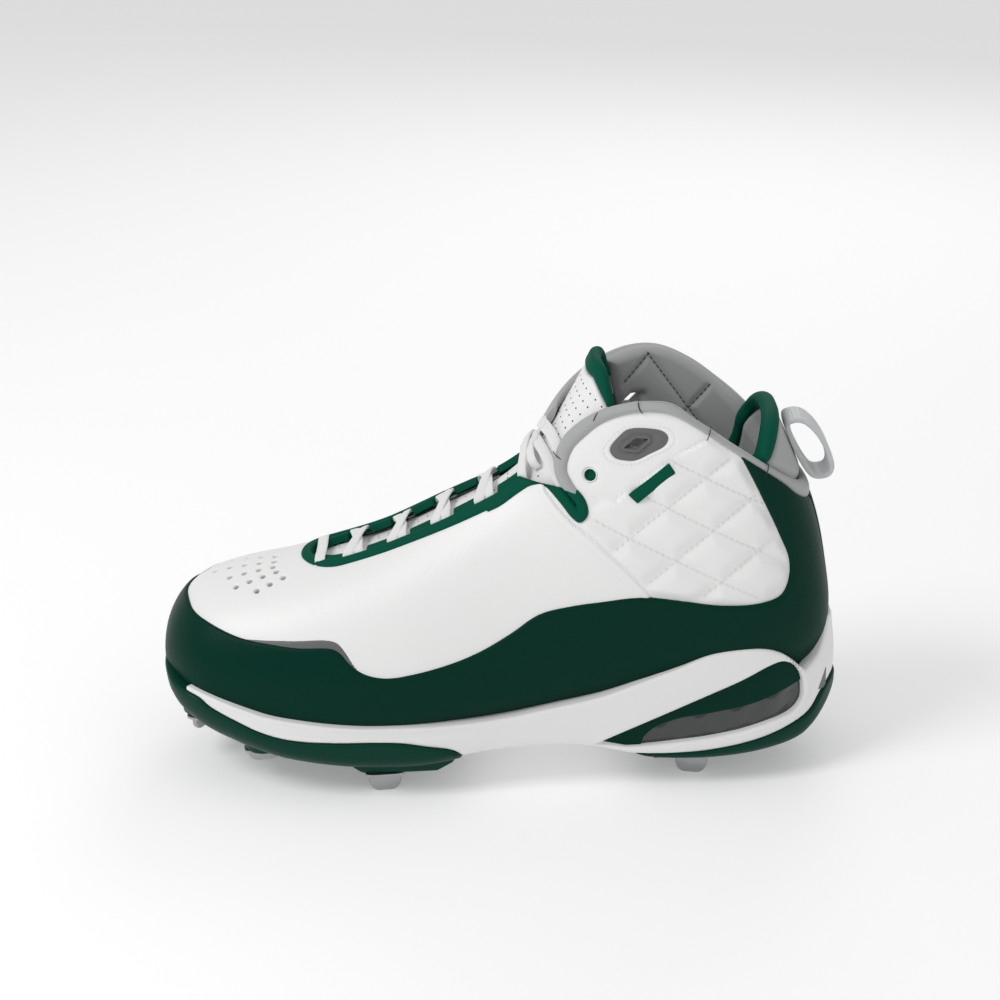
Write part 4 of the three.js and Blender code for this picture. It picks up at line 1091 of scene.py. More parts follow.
def make_trims():
    places = last_grid(0, 12, 1.1)
    low = rounded(side_line(FOXING_TOP_LATERAL[5:12])) - [0, 1.2]
    strip = one_side(side_region(np.vstack([low, rounded(side_line(STRIP_TOP_LATERAL))])), -1)
    outer = edge_profile(TRIM_OUT - 0.2, 0.1, 0.8)
    points, faces = sheet("last", places, strip, outer, flat(-0.4), (0.15, 0.8), back=False)
    add_piece("side_strip_trim", points, faces, "dark_grey_trim", ["side_strip"], "dark_grey_trim")
    low = (rounded(side_line(FOXING_TOE_MEDIAL[1:])) - [0, 1.2])[::-1]
    panel = one_side(side_region(np.vstack([rounded(side_line(TOE_PANEL_TOP_MEDIAL)), low])), 1)
    panel = both(panel, outside(vent_region, 0.4), lambda p: (p[:, 1] - 15 + (p[:, 0] - 10) * 0.42) * 0.9)
    outer = edge_profile(TRIM_OUT - 0.3, 0.1, 1.0)
    points, faces = sheet("last", places, panel, outer, flat(-0.4), (0.15, 1.0), back=False)
    add_piece("toe_panel_trim", points, faces, "light_grey_panel", ["toe_panel"], "light_grey_panel")
    tag = one_side(side_region(side_line(TAG)), -1)

    def label(p, depth):
        return 0.12 * smoothstep(depth, 0.9, 1.3)

    points, faces = sheet("last", last_grid(9, 18, 0.9), tag, edge_profile(1.7, 0.9, 0.5), flat(-0.3),
                          (0.12, 0.5, 0.9, 1.3), label, back=False)
    add_piece("side_tag_label", points, faces, "green_piping", ["side_tag"], "green_piping")


def make_badges():
    in_plate = side_region(badge_outline)
    for side, word in ((-1, "lateral"), (1, "medial")):
        field = both(one_side(lambda p: in_plate(p) + 0.35, side), outside(in_diamond))

        def relief(p, depth):
            away = -in_diamond(p)
            frame_step = 0.9 * smoothstep(away, 0.1, 0.6) * (1 - smoothstep(away, 1.5, 2.3))
            return frame_step + 0.35 * smoothstep(in_plate(p), 1.2, 2.0) * smoothstep(away, 2.6, 3.4)

        outer = edge_profile(-0.55, -1.1, 0.6)
        plate = sheet("last", last_grid(12, 20, 0.6), field, outer, flat(-2.6), (0.2, 0.6), relief)
        add_piece(f"vent_plate_{word}", *plate, "dark_grey_trim", [f"vent_badge_{word}"], "dark_grey_trim")


def roll_region():
    lateral_top = rounded(side_line(ROLL_TOP_LATERAL))
    medial_top = rounded(side_line(ROLL_TOP_MEDIAL))

    def below(line):
        floor = LEVEL_HEIGHTS[1]
        return np.vstack([line, [[BEHIND, line[-1, 1]], [BEHIND, floor], [line[0, 0], floor]]])

    return side_region(below(lateral_top), below(medial_top))


def make_collar():
    under_roll = roll_region()
    band = both(
        under_roll, side_region(collar_lateral, collar_medial),
        side_region(side_line(ROLL_START)),
    )
    middle, half = (ROLL_OUT + ROLL_IN) / 2, (ROLL_OUT - ROLL_IN) / 2
    radius = 3.0
    points, faces = sheet(
        "last", last_grid(8, 21.8, 1.1, seam=-math.pi), lambda p: band(p) + 0.35,
        lambda d: middle + half * bulge(d, radius), lambda d: middle - half * bulge(d, radius),
        (0.06, 0.25, 0.6, 1.1, 1.8, 2.6),
    )
    roll = add_piece("collar_roll", points, faces, "grey_lining", ["collar"], "grey_lining")
    tongue_room = tongue_region(1.3)

    def field(p):
        notch = float(height_at(1.85))
        front = np.where(p[:, 2] > notch, 50.0, p[:, 0] - 0.6 * LENGTH - (notch - p[:, 2]) * 0.9)
        floor = p[:, 2] - LEVEL_HEIGHTS[1] * 1.02
        return np.min([under_roll(p), -tongue_room(p), -in_diamond(p), front, floor], axis=0)

    def pad(d):
        return LINING_OUT + (LINING_IN - LINING_OUT) * bulge(d, 4.5)

    def inner(base, d):
        thin = smoothstep(base[:, 2], float(height_at(1.25)), float(height_at(1.6)))
        away = quilt_distance(base, LINING_QUILT)
        groove = 1.0 * np.exp(-((away / 1.6) ** 2)) * smoothstep(d, 1.0, 5.0) * thin
        return (1 - thin) * 3.2 + groove

    surface, normal = SURFACES["last"]
    place, tri, depth = cut_patch(surface, *last_grid(8, 21.8, 1.25, seam=-math.pi), field,
                                  (0.1, 0.5, 1.2, 2.4, 4.5))
    base, n = surface(place), normal(place)
    inside_points = base + n * (pad(depth) + inner(base, depth))[:, None]
    rim = border(tri)
    used, index = np.unique(rim, return_inverse=True)
    index = index.reshape(rim.shape) + len(base)
    outer_points = base[used] + n[used] * (LINING_OUT + 0.3)
    faces = np.vstack([
        tri[:, ::-1], np.column_stack([rim[:, 0], rim[:, 1], index[:, 0]]),
        np.column_stack([rim[:, 1], index[:, 1], index[:, 0]]),
    ])
    lining = add_piece("ankle_lining", np.vstack([inside_points, outer_points]), faces, "grey_lining",
                       ["collar"], "grey_lining")


def tongue_region(grow):
    ankle = rounded(side_line(TONGUE_ANKLE))
    wide = plan_region(throat_outline(TONGUE_HALF - THROAT_HALF + grow), THROAT_FLOOR)
    tall = side_region(ankle)
    return either(wide, lambda p: tall(p) + grow)


def make_tongue():
    area = tongue_region(0.0)
    band = side_region(side_line(TONGUE_TOP_BAND))
    field = both(area, outside(band, 0.1))
    places = last_grid(3, 21.8, 1.4)
    points, faces = sheet("last", places, field, edge_profile(TONGUE_OUT, -4.4, 1.5),
                          lambda d: -4.4 - 1.6 * bulge(d, 1.5), (0.15, 0.6, 1.5), shift=saddle)
    tongue = add_piece("tongue_panel", points, faces, "white_leather", ["tongue"], "white_leather")
    wide = tongue_region(1.0)
    points, faces = sheet("last", last_grid(8, 21.8, 1.0), both(wide, band),
                          lambda d: -4.6 + 2.6 * bulge(d, 2.6), lambda d: -4.6 - 2.9 * bulge(d, 2.6),
                          (0.08, 0.3, 0.8, 1.6, 2.6))
    add_piece("tongue_edge", points, faces, "green_piping", ["tongue_binding"], "green_piping")


def make_throat_edge():
    clip = side_region(side_line([(0.15, 1.2), (0.648, 1.2), (0.648, 2.17), (0.15, 2.17)]))

    def field(p):
        depth = open_top(p)
        return np.min([depth + 0.6, PIPING_WIDTH - depth, clip(p)], axis=0)

    outer = edge_profile(PIPING_OUT, -0.3, 1.7)
    levels = (0.1, 0.4, 0.9, 1.7)
    points, faces = sheet("last", last_grid(3, 16, 1.0), field, outer, flat(-2.6), levels, back=False)
    add_piece("throat_edge", points, faces, "green_piping", ["throat_binding"], "green_piping")
    slots = [(FIRST_CROSSING + k * CROSSING_PITCH) * LENGTH for k in range(CROSSINGS)]

    def strips(p):
        ring = np.minimum(throat(-3.0)(p), -throat(-7.4)(p))
        ends = np.minimum(p[:, 0] - 0.235 * LENGTH, 0.535 * LENGTH - p[:, 0])
        slot = np.min([np.abs(p[:, 0] - x) - 5.0 for x in slots], axis=0)
        return np.minimum(ring, np.minimum(ends, slot))

    points, faces = sheet("last", last_grid(3, 12, 0.9), strips, edge_profile(0.6, -0.3, 0.6), flat(-2.8),
                          (0.2, 0.6), back=False)
    add_piece("slot_strips", points, faces, "green_piping", slot="green_piping")


def make_heel_tab():
    under_roll = roll_region()

    def over_roll(p):
        return np.maximum(-under_roll(p) - 0.1, TAB_INSIDE_BACK * LENGTH - p[:, 0])

    def tuck(p):
        return -TAB_TUCK * smoothstep(under_roll(p), -3.5, 3.0)

    edge = rounded(side_line(TAB_INSIDE + TAB_EDGE))
    low = float(height_at(TAB_LOW))
    whole = np.vstack([edge, [[BEHIND, low], [0.95 * LENGTH, low], [0.9 * LENGTH, edge[0, 1]]]])
    inner = whole + [TAB_BINDING_RUN, -TAB_BINDING_DROP]
    places = last_grid(11, 21.8, 1.0, seam=-math.pi)
    tab = both(side_region(inner), over_roll)
    points, faces = sheet("last", places, lambda p: tab(p) + 0.3, lambda d: -1.6 + 2.6 * bulge(d, 2.4),
                          lambda d: -1.6 - 2.9 * bulge(d, 2.4), (0.2, 0.8, 2.4), shift=tuck)
    pad = add_piece("heel_tab_pad", points, faces, "grey_lining", ["heel_tab"], "grey_lining")
    band = both(side_region(whole), outside(side_region(inner)), over_roll)
    points, faces = sheet("last", places, lambda p: band(p) + 0.3, lambda d: -1.75 + 3.7 * bulge(d, 2.0),
                          lambda d: -1.75 - 3.7 * bulge(d, 2.0), (0.06, 0.25, 0.6, 1.1, 1.6), shift=tuck)
    add_piece("heel_tab_edge", points, faces, "green_piping", ["heel_tab_binding"], "green_piping")


def make_pull_loop():
    outline = rounded(side_line(LOOP_OUTLINE), closed=True, steps=8)
    after, before = np.roll(outline, -1, axis=0), np.roll(outline, 1, axis=0)
    tangent = (after - before) / np.linalg.norm(after - before, axis=1)[:, None]
    area = np.sum(outline[:, 0] * after[:, 1] - after[:, 0] * outline[:, 1])
    inward = np.column_stack([-tangent[:, 1], tangent[:, 0]]) * np.sign(area)
    half = LOOP_WIDTH / 2
    section = [(-half, 0.5), (-half + 0.5, 0), (half - 0.5, 0), (half, 0.5),
               (half, 1.7), (half - 0.5, LOOP_THICKNESS), (-half + 0.5, LOOP_THICKNESS), (-half, 1.7)]
    rings = []
    for y, depth in section:
        line = outline + inward * depth
        rings.append(np.column_stack([line[:, 0], np.full(len(line), y), line[:, 1]]))
    points = np.stack(rings, axis=1)
    count, sides = points.shape[:2]
    faces = []
    for i in range(count):
        for j in range(sides):
            k, m = (i + 1) % count, (j + 1) % sides
            faces.append((i * sides + j, i * sides + m, k * sides + m, k * sides + j))
    add_piece("pull_webbing", points.reshape(-1, 3), faces, "webbing", ["pull_loop"], "webbing")


# Laces
def ribbon(path, ups, widths, thickness):
    """A flat band with rounded edges along a path."""
    tangent = np.gradient(path, axis=0)
    side = np.cross(tangent, ups)
    side /= np.linalg.norm(side, axis=1)[:, None]
    up = np.cross(side, tangent)
    up /= np.linalg.norm(up, axis=1)[:, None]
    half = LACE_WIDTH / 2
    side = side * (widths / LACE_WIDTH)[:, None]
    section = [
        (-half, 0.35), (-half + 0.35, 0), (0, 0.05), (half - 0.35, 0), (half, 0.35), (half, 0.65),
        (half - 0.4, 0.95), (half * 0.5, 1.0), (0, 1.05), (-half * 0.5, 1.0), (-half + 0.4, 0.95),
        (-half, 0.65),
    ]
    points = np.stack([path + side * y + up * (z * thickness) for y, z in section], axis=1)
    count, sides = points.shape[:2]
    faces = ring_faces(count, sides, outward=False)
    faces += [tuple(reversed(range(sides))), tuple(range((count - 1) * sides, count * sides))]
    return points.reshape(-1, 3), faces


def saddle(p):
    """How far the tongue and the laces sink between the two edges of the throat."""
    across = 1 - np.clip(np.abs(p[:, 1] - THROAT_CENTRE) / THROAT_HALF, 0, 1) ** 2
    share = p[:, 0] / LENGTH
    return -SADDLE_DEPTH * across * smoothstep(share, 0.2, 0.34) * (1 - smoothstep(p[:, 2], 128, 150))


def lace_strand(from_x, to_x, hump, roll=0.0, widths=(1.0, 1.0)):
    """A strand from the outer to the inner slot; roll tips it to one side as it crosses."""
    t = np.linspace(0, 1, 33)
    reach = THROAT_HALF - 3.2
    x = from_x + (to_x - from_x) * t
    y = THROAT_CENTRE - reach + 2 * reach * t
    place = on_top(np.column_stack([x, y]))
    n = last_normal(place)
    dive = 3.4 * (1 - bulge(np.minimum(t, 1 - t) * 2 * reach, 4.0))
    arch = np.sin(math.pi * t) ** 2
    lift = LACE_BASE - dive + (hump - LACE_SAG) * arch + saddle(last_point(place))
    path = last_point(place) + n * lift[:, None]
    tipped = n + np.array([1.0, 0, 0]) * (roll * np.sin(2 * math.pi * t))[:, None]
    return ribbon(path, tipped, LACE_WIDTH * (widths[0] + (widths[1] - widths[0]) * t), LACE_THICKNESS)


def ankle_strand(side, start, rise, height):
    """The last run of lace, from the top crossing over the tongue down to the notch."""
    x = (FIRST_CROSSING + (CROSSINGS - 1) * CROSSING_PITCH) * LENGTH
    top = on_top(np.array([[x + start, THROAT_CENTRE - side * 5]]))[0]
    end = on_side(side_line([(0.599, 2.035)]), side)[0]
    t = np.linspace(0, 1, 29)[:, None]
    place = top * (1 - t) + end * t
    place[:, 0] += rise * np.sin(math.pi * t[:, 0])
    n = last_normal(place)
    t = t[:, 0]
    lift = -1.6 + height + 2.0 * (1 - t) ** 2 - 1.8 * smoothstep(t, 0.82, 1.0)
    tipped = n + np.array([0.5, 0, 0]) * np.sin(math.pi * t)[:, None]
    width = LACE_WIDTH * (1.15 - 0.35 * t)
    return ribbon(last_point(place) + n * lift[:, None], tipped, width, LACE_THICKNESS)


def make_laces():
    x = LACE_BAR_X * LENGTH
    add_piece("lace_bar_band", *lace_strand(x, x, 0), "lace", ["lace_bar"], "lace")
    for k in range(CROSSINGS):
        x = (FIRST_CROSSING + k * CROSSING_PITCH) * LENGTH
        tip = 0.22 * math.sin(2.4 * k + 0.6)
        over = lace_strand(x - OVER_LEAN, x + OVER_LEAN, 1.3, tip, (1.05, 0.78))
        lower = lace_strand(x + UNDER_LEAN, x - UNDER_LEAN, 0.0, -tip, (0.85, 0.95))
        parts = [lower, over]
        if k == CROSSINGS - 1:
            for side in (-1, 1):
                parts += [ankle_strand(side, 2, 0.25, 0.0), ankle_strand(side, 6, 0.75, 0.7)]
        points, faces = joined(parts)
        add_piece(f"lace_cross_band_{k + 1}", points, faces, "lace", [f"lace_cross_{k + 1}"], "lace")


def make_insole():
    rows = np.linspace(1.6, 14.6, 60)
    table = row_at(LAST, rows)
    tall = np.maximum(table[:, 4] * np.hypot(table[:, 2] - table[:, 0], table[:, 3] - table[:, 1]), 8.0)
    reach = np.clip(1 - (UPPER_WALL + 2.0) / tall, 0, 1) ** (table[:, 7] / 2)
    narrow = np.sqrt(1 - reach**2) ** (2 / table[:, 7])
    across = np.linspace(-1, 1, 25)
    points = []
    for share in across:
        width = np.where(share < 0, table[:, 5], table[:, 6]) * narrow - UPPER_WALL - 0.4
        z = table[:, 1] + UPPER_WALL + 4.3 + 3.5 * abs(share) ** 4
        points.append(np.column_stack([table[:, 0], table[:, 9] + share * width, z]))
    top = np.stack(points, axis=1)
    count, columns = top.shape[:2]
    low = top.copy()
    low[..., 2] = (table[:, 1] + UPPER_WALL)[:, None] + 0.3
    quads = [(i * columns + j, (i + 1) * columns + j, (i + 1) * columns + j + 1, i * columns + j + 1)
             for i in range(count - 1) for j in range(columns - 1)]
    shift = count * columns
    faces = [*quads, *[tuple(k + shift for k in reversed(quad)) for quad in quads]]
    ring = [i * columns for i in range(count)] + [(count - 1) * columns + j for j in range(1, columns)]
    ring += [i * columns + columns - 1 for i in range(count - 2, -1, -1)]
    ring += list(range(columns - 2, 0, -1))
    for a, b in zip(ring, ring[1:] + ring[:1]):
        faces.append((b, a, a + shift, b + shift))
    add_piece("footbed", np.vstack([top.reshape(-1, 3), low.reshape(-1, 3)]), faces, "grey_footbed",
              ["insole"], "grey_lining")


# Sole
def sole_region(line):
    return side_region(under(line))


window_line = side_line(WINDOW)
window_outline = rounded(np.vstack([window_line, window_line[:1]]))
in_window = side_region(window_outline)
forefoot_area = sole_region(FOREFOOT_PLATE_TOP)
heel_area = sole_region(HEEL_PLATE_TOP)


def make_midsole():
    region = side_region(np.vstack([
        smooth_side(MIDSOLE_TOP, MIDSOLE_CUSP), [[BEHIND, float(height_at(1.33))], [BEHIND, BELOW],
                                                  [MIDSOLE_TOP[0][0] * LENGTH, BELOW]],
    ]))
    field = both(region, outside(forefoot_area, 0.15), outside(heel_area, 0.15), outside(in_window))

    def relief(p, depth):
        share = p[:, 0] / LENGTH
        line = float(height_at(0.72)) + 16 * (share - 0.3) ** 2 * LENGTH / 100
        along = (1 - smoothstep(share, 0.42, 0.5)) * smoothstep(share, 0.09, 0.13)
        groove = -0.4 * smoothstep(p[:, 2] - line, -0.3, 0.3) * along
        across = p[:, 0] - 0.957 * LENGTH - (p[:, 2] - 40) * 0.35
        tall = smoothstep(p[:, 2], 33, 35) * (1 - smoothstep(p[:, 2], 47, 49))
        clip = -0.35 * np.exp(-((across / 0.5) ** 2)) * smoothstep(share, 0.94, 0.945) * tall
        return (groove + clip) * smoothstep(depth, 0.5, 2)

    points, faces = sheet("sole", sole_grid(1.5), field, edge_profile(0.0, -1.3, 1.5), flat(-6.5),
                          (0.12, 0.5, 1.5), relief, back=False)
    add_piece("midsole_cup", points, faces, "white_midsole", ["midsole"], "white_midsole")
    # A flat dark grey patch over the heel's V-notch: painted shade for the recess
    notch = side_line([(0.972, 0.95), (0.985, 1.08), (0.986, 0.92)])
    points, faces = sheet("sole", sole_grid(1.0), side_region(notch), flat(0.08), flat(-1), back=False)
    add_piece("heel_notch_shade", points, faces, "dark_grey_trim", slot="dark_grey_trim")


def make_window():
    air_line = rounded(side_line(AIR_TOP))
    air_outline = np.vstack([air_line, [[air_line[-1, 0], BELOW], [air_line[0, 0], BELOW]]])
    in_air = side_region(air_outline)
    grown = lambda p: in_window(p) + 1.0
    core = both(grown, outside(in_air, -0.1))
    points, faces = sheet("sole", sole_grid(1.3), core, flat(-2.6), flat(-5), back=False)
    add_piece("heel_window_core", points, faces, "green_gloss", ["heel_core"], "green_gloss")

    def ribs(p, depth):
        return 0.5 * np.sin(p[:, 0] * 2 * math.pi / 17) * smoothstep(depth, 0.5, 3) + 0.6 * bulge(depth, 2.5)

    air = both(grown, in_air)
    levels = (0.3, 1.0, 2.5)
    points, faces = sheet("sole", sole_grid(1.3), air, flat(-4.0), flat(-6), levels, ribs, back=False)
    add_piece("air_cushion", points, faces, "smoked_air", ["air_unit"], "smoked_air")


def lug_block(line, inner_share, side):
    """A tapered lug: a loft of sections across the shoe, following the sole's outline."""
    points = side_line(line)
    x = np.linspace(points[0, 0], points[-1, 0], 40)
    z = np.interp(x, points[:, 0], points[:, 1])
    top = np.interp(x, SOLE_X[:, 0], SOLE_X[:, 1]) + 4.0
    half = half_width(line[0][0])
    column = 1 if side < 0 else 2
    shares = rounded(np.array([(row[0] * LENGTH, row[column] * half_width(row[0])) for row in SOLE_ROWS]))
    outer = np.interp(x, shares[:, 0], shares[:, 1]) - LUG_INSET
    inner = np.full(len(x), inner_share * half)
    radius = 1.6
    rings = []
    for i in range(len(x)):
        low = min(z[i], top[i] - 0.2)
        r = min(radius, (top[i] - low) * 0.5)
        arc = np.linspace(0, math.pi / 2, 5)
        section = [(inner[i] - 1.0, top[i])]
        section += [(inner[i] + r * (1 - math.cos(a)), low + r * (1 - math.sin(a))) for a in arc]
        section += [(outer[i] - r * (1 - math.cos(a)), low + r * (1 - math.sin(a))) for a in arc[::-1]]
        section += [(outer[i] + 2.5, top[i])]
        rings.append([(x[i], side * y, zz) for y, zz in section])
    rings = np.array(rings)
    count, sides = rings.shape[:2]
    faces = ring_faces(count, sides)
    faces += [tuple(range(sides)), tuple(reversed(range((count - 1) * sides, count * sides)))]
    if side < 0:
        faces = [tuple(reversed(face)) for face in faces]
    return rings.reshape(-1, 3), faces


PAD_RINGS = [
    # radius, height over the stud's root
    (0.01, 13.0), (9.6, 13.0), (8.8, 0.9), (7.9, 0.0), (0.01, 0.0),
]
PAD_SIDES = 32


def stud_pad(row):
    """The round pad of the front plate that a stud is screwed into."""
    _, x, y, top, _, _ = row
    centre = np.array([x * LENGTH, y * half_width(x), float(height_at(top))])
    angles = np.linspace(0, 2 * math.pi, PAD_SIDES, endpoint=False)
    points = centre + np.array([[radius * math.cos(a), radius * math.sin(a), height]
                                for radius, height in PAD_RINGS for a in angles])
    return points, ring_faces(len(PAD_RINGS), PAD_SIDES)


def make_outsoles():
    edge = edge_profile(0.9, -0.4, 1.4)
    levels = (0.15, 0.6, 1.4)
    plate = sheet("sole", sole_grid(1.5, seam=ROUND / 2), forefoot_area, edge, flat(-5), levels, back=False)
    lugs = [lug_block(BALL_LUG, 0.5, side) for side in (-1, 1)]
    points, faces = joined([plate] + lugs + [stud_pad(row) for row in STUD_ROWS[:4]])
    add_piece("forefoot_plate", points, faces, "green_outsole", ["forefoot_outsole"], "green_outsole")
    plate = sheet("sole", sole_grid(1.5), heel_area, edge, flat(-4), levels, back=False)
    points, faces = joined([plate] + [lug_block(HEEL_LUG, 0.32, side) for side in (-1, 1)])
    add_piece("heel_plate", points, faces, "green_outsole", ["heel_outsole"], "green_outsole")


BLADE_STEPS = [
    # share of half the thickness, how far the outline draws in
    (-1, 0.55), (-0.72, 0.12), (-0.4, 0), (0.4, 0), (0.72, 0.12), (1, 0.55),
]
FLANGE_SIDES = 28


def make_stud(row):
    name, x, y, top, tip, turn = row
    drop = float(height_at(top) - height_at(tip)) - 0.3
    half, narrow = STUD_WIDTH / 2, STUD_TIP_WIDTH / 2
    angle = np.linspace(0, math.pi / 2, 14)
    curve = [(narrow + (half - narrow) * math.cos(a), -drop + drop * 0.62 * (1 - math.sin(a))) for a in angle]
    outline = np.array([(half, 0.4), *curve, *[(-a, b) for a, b in reversed(curve)], (-half, 0.4)])
    thick = STUD_THICKNESS / 2
    rings = []
    for depth, shrink in BLADE_STEPS:
        size = np.array([1 - shrink / half, 1 - shrink / drop])
        ring = outline * size
        ring[:, 1] = np.maximum(ring[:, 1], -drop)
        rings.append(np.column_stack([ring[:, 0], np.full(len(ring), thick * depth), ring[:, 1]]))
    points = np.vstack(rings)
    sides = len(outline)
    faces = ring_faces(len(rings), sides)
    faces += [tuple(range(sides)), tuple(reversed(range((len(rings) - 1) * sides, len(rings) * sides)))]
    long, wide, deep = (size / 2 for size in STUD_FLANGE)
    around = np.linspace(0, 2 * math.pi, FLANGE_SIDES, endpoint=False)
    steps = ((0.01, 0.1), (1, 0.1), (1, -deep * 1.5), (0.93, -deep * 2), (0.01, -deep * 2))
    base = [[long * math.copysign(abs(math.cos(a)) ** 0.5, math.cos(a)) * share,
             wide * math.copysign(abs(math.sin(a)) ** 0.5, math.sin(a)) * share, height]
            for share, height in steps for a in around]
    points, faces = joined([(points, faces), (np.array(base), ring_faces(len(steps), FLANGE_SIDES))])
    c, s = math.cos(math.radians(turn)), math.sin(math.radians(turn))
    turned = np.column_stack([
        points[:, 0] * c - points[:, 1] * s, points[:, 0] * s + points[:, 1] * c, points[:, 2],
    ])
    turned += [x * LENGTH, y * half_width(x), float(height_at(top)) - 0.3]
    add_piece(f"{name}_blade", turned, faces, "stud_metal", [name], "stud_metal")


# Fine details
def make_threads():
    white, green = [], []
    ring = rounded(side_line(BADGE), closed=True)
    centre = ring.mean(0)
    ring = centre + (ring - centre) * 1.22
    loop = np.vstack([ring, ring[:1]])
    for side in (-1, 1):
        white.append(stitches_on(loop, lambda t, s=side: on_side(t, s), 0.1, 1.9, 1.3, 0.2))
    foxing_top = rounded(side_line(FOXING_TOP_LATERAL[15:29]))
    region = side_region(vamp_outline)
    for start, end in quilt_lines(ANKLE_QUILT, 4):
        line = along_path(np.array([start, end]), 1.0)
        probe = np.column_stack([line[:, 0], np.zeros(len(line)), line[:, 1]])
        guard_top = np.interp(line[:, 0], foxing_top[:, 0], foxing_top[:, 1])
        good = (region(probe) < -2) & (in_panel(probe) < -1) & (line[:, 1] > guard_top + 2)
        good &= (line[:, 0] < 0.905 * LENGTH) & (inside(collar_lateral, line) < -3)
        if good.sum() < 5:
            continue
        first, last = np.where(good)[0][[0, -1]]
        for side in (-1, 1):
            white.append(stitches_on(line[first:last + 1], lambda t, s=side: on_side(t, s),
                                     0.12, 2.9, 1.9, 0.24))
    for start, end in quilt_lines(LINING_QUILT, 3):
        line = along_path(np.array([start, end]), 1.0)
        for side, top in ((-1, ROLL_TOP_LATERAL), (1, ROLL_TOP_MEDIAL)):
            roof = inside(np.vstack([rounded(side_line(top)), [[BEHIND, 40], [0.62 * LENGTH, 40]]]), line)
            good = (roof > 1.5) & (line[:, 1] > height_at(1.75))
            good &= (line[:, 0] > 0.675 * LENGTH) & (line[:, 0] < 0.93 * LENGTH)
            good &= inside(side_line(DIAMOND), line) < -2.5
            for piece in np.split(line, np.where(~good)[0]):
                if len(piece) > 7:
                    green.append(stitches_on(piece[1:], lambda t, s=side: on_side(t, s),
                                             LINING_IN + 0.75, 2.6, 2.1, 0.22))
    add_threads("thread_white", white, "thread_white")
    add_threads("thread_green", green, "thread_green")


ROLL_CROSS_STITCHES = [
    # x and level on the roll's outer face, lean of the stitch in degrees
    (0.587, 2.41, 150), (0.637, 2.79, 70), (0.697, 2.94, 110), (0.79, 2.73, 75), (0.872, 2.37, 75),
]


def make_roll_stitches():
    """Thread that crosses the roll where the quilting reaches it."""
    parts = []
    for x, level, lean in ROLL_CROSS_STITCHES:
        for side in (-1, 1):
            spot = side_line([(x, level)])[0]
            step = np.array([math.cos(math.radians(lean)), math.sin(math.radians(lean))])
            line = np.array([spot - 3.0 * step, spot + 3.4 * step])
            fine = along_path(line, 0.5)
            place = on_side(fine, side)
            share = np.linspace(-1, 1, len(fine))
            rise = -0.45 + 2.85 * np.sqrt(np.clip(1 - share**2, 0, 1))
            points = last_point(place) + last_normal(place) * rise[:, None]
            ups = last_normal(place)
            parts.append(stitch_row(points, np.gradient(points, axis=0), ups, 1.1, 0.22))
    add_threads("thread_roll", parts, "thread_green")


def add_threads(name, parts, material):
    parts = [part for part in parts if part is not None]
    if parts:
        points, faces = joined(parts)
        add_piece(name, points, faces, material)


def discs(centres, ups, radius, sides=10, sink=0.25):
    """Small shallow cups; in the tongue's perforations they are drawn dark as painted shade."""
    reference = np.where(np.abs(ups[:, :1]) < 0.8, [[1.0, 0, 0]], [[0, 1.0, 0]])
    first = np.cross(ups, reference)
    first /= np.linalg.norm(first, axis=1)[:, None]
    second = np.cross(ups, first)
    points = [centres - ups * sink]
    for size in (1.0,):
        for k in range(sides):
            angle = 2 * math.pi * k / sides
            points.append(centres + (first * math.cos(angle) + second * math.sin(angle)) * radius * size)
    points = np.stack(points, axis=1)
    faces = [(i * (sides + 1), i * (sides + 1) + 1 + k, i * (sides + 1) + 1 + (k + 1) % sides)
             for i in range(len(centres)) for k in range(sides)]
    return points.reshape(-1, 3), faces


def make_tongue_perforations():
    targets = []
    for x in np.arange(0.245 * LENGTH, 0.53 * LENGTH, 4.3):
        for y in (-9.4, -6.4, 5.6, 8.6):
            targets.append((x, THROAT_CENTRE + y))
    place = on_top(np.array(targets))
    area = tongue_region(-3.0)
    ankle = []
    for i, u in enumerate(np.arange(9.6, 20.6, 0.72)):
        for k in range(-9, 10):
            ankle.append((u, math.pi + (k + (i % 2) / 2) * 0.105))
    place = np.vstack([place, np.array(ankle)])
    points = last_point(place)
    keep = (area(points) > 0) & (side_region(side_line(TONGUE_TOP_BAND))(points) < -1.5)
    place, points = place[keep], points[keep]
    n = last_normal(place)
    # Each perforation is a dark disc on the tongue's face: painted shade in place of a hole
    made = discs(points + n * (TONGUE_OUT + 0.07 + saddle(points))[:, None], n, 0.42, 8, 0.02)
    add_piece("tongue_perforations", *made, "hole_dark")


EYELET_RIM = [
    # wider than the hole, height over the leather
    (0.25, -0.2), (0.05, 0.12), (-0.3, -0.1), (-0.35, -2.0),
]


def make_rings():
    """A punched rim in each ankle eyelet."""
    parts = []
    for side in (-1, 1):
        place = on_side([eyelet_spot], side)
        centre, n = last_point(place)[0], last_normal(place)[0]
        first = np.cross(n, [0, 0, 1.0])
        first /= np.linalg.norm(first)
        second = np.cross(n, first)
        around = np.linspace(0, 2 * math.pi, 40, endpoint=False)
        rings = []
        for wider, height in EYELET_RIM:
            spokes = [(first * math.cos(a) + second * math.sin(a)) * (EYELET_RADIUS + wider) for a in around]
            rings.append([centre + spoke + n * height for spoke in spokes])
        parts.append((np.array(rings).reshape(-1, 3), ring_faces(len(EYELET_RIM), 40, outward=False)))
        disc = discs(np.array([centre - n * 1.8]), np.array([n]), EYELET_RADIUS, 24, 0.1)
        name = "eyelet_backing_" + ("lateral" if side < 0 else "medial")
        add_piece(name, *disc, "green_piping", slot="green_piping")
    points, faces = joined(parts)
    add_piece("eyelet_rims", points, faces, "white_leather")


# Stage
PITCH = math.radians(22.5)
CAMERA_DISTANCE = 3.0393 * LENGTH
AIM = (0.50164 * LENGTH, 0, 0.40262 * LENGTH)
FOCAL_PIXELS = 2079
FRAME_PIXELS = 1000
SENSOR = 36


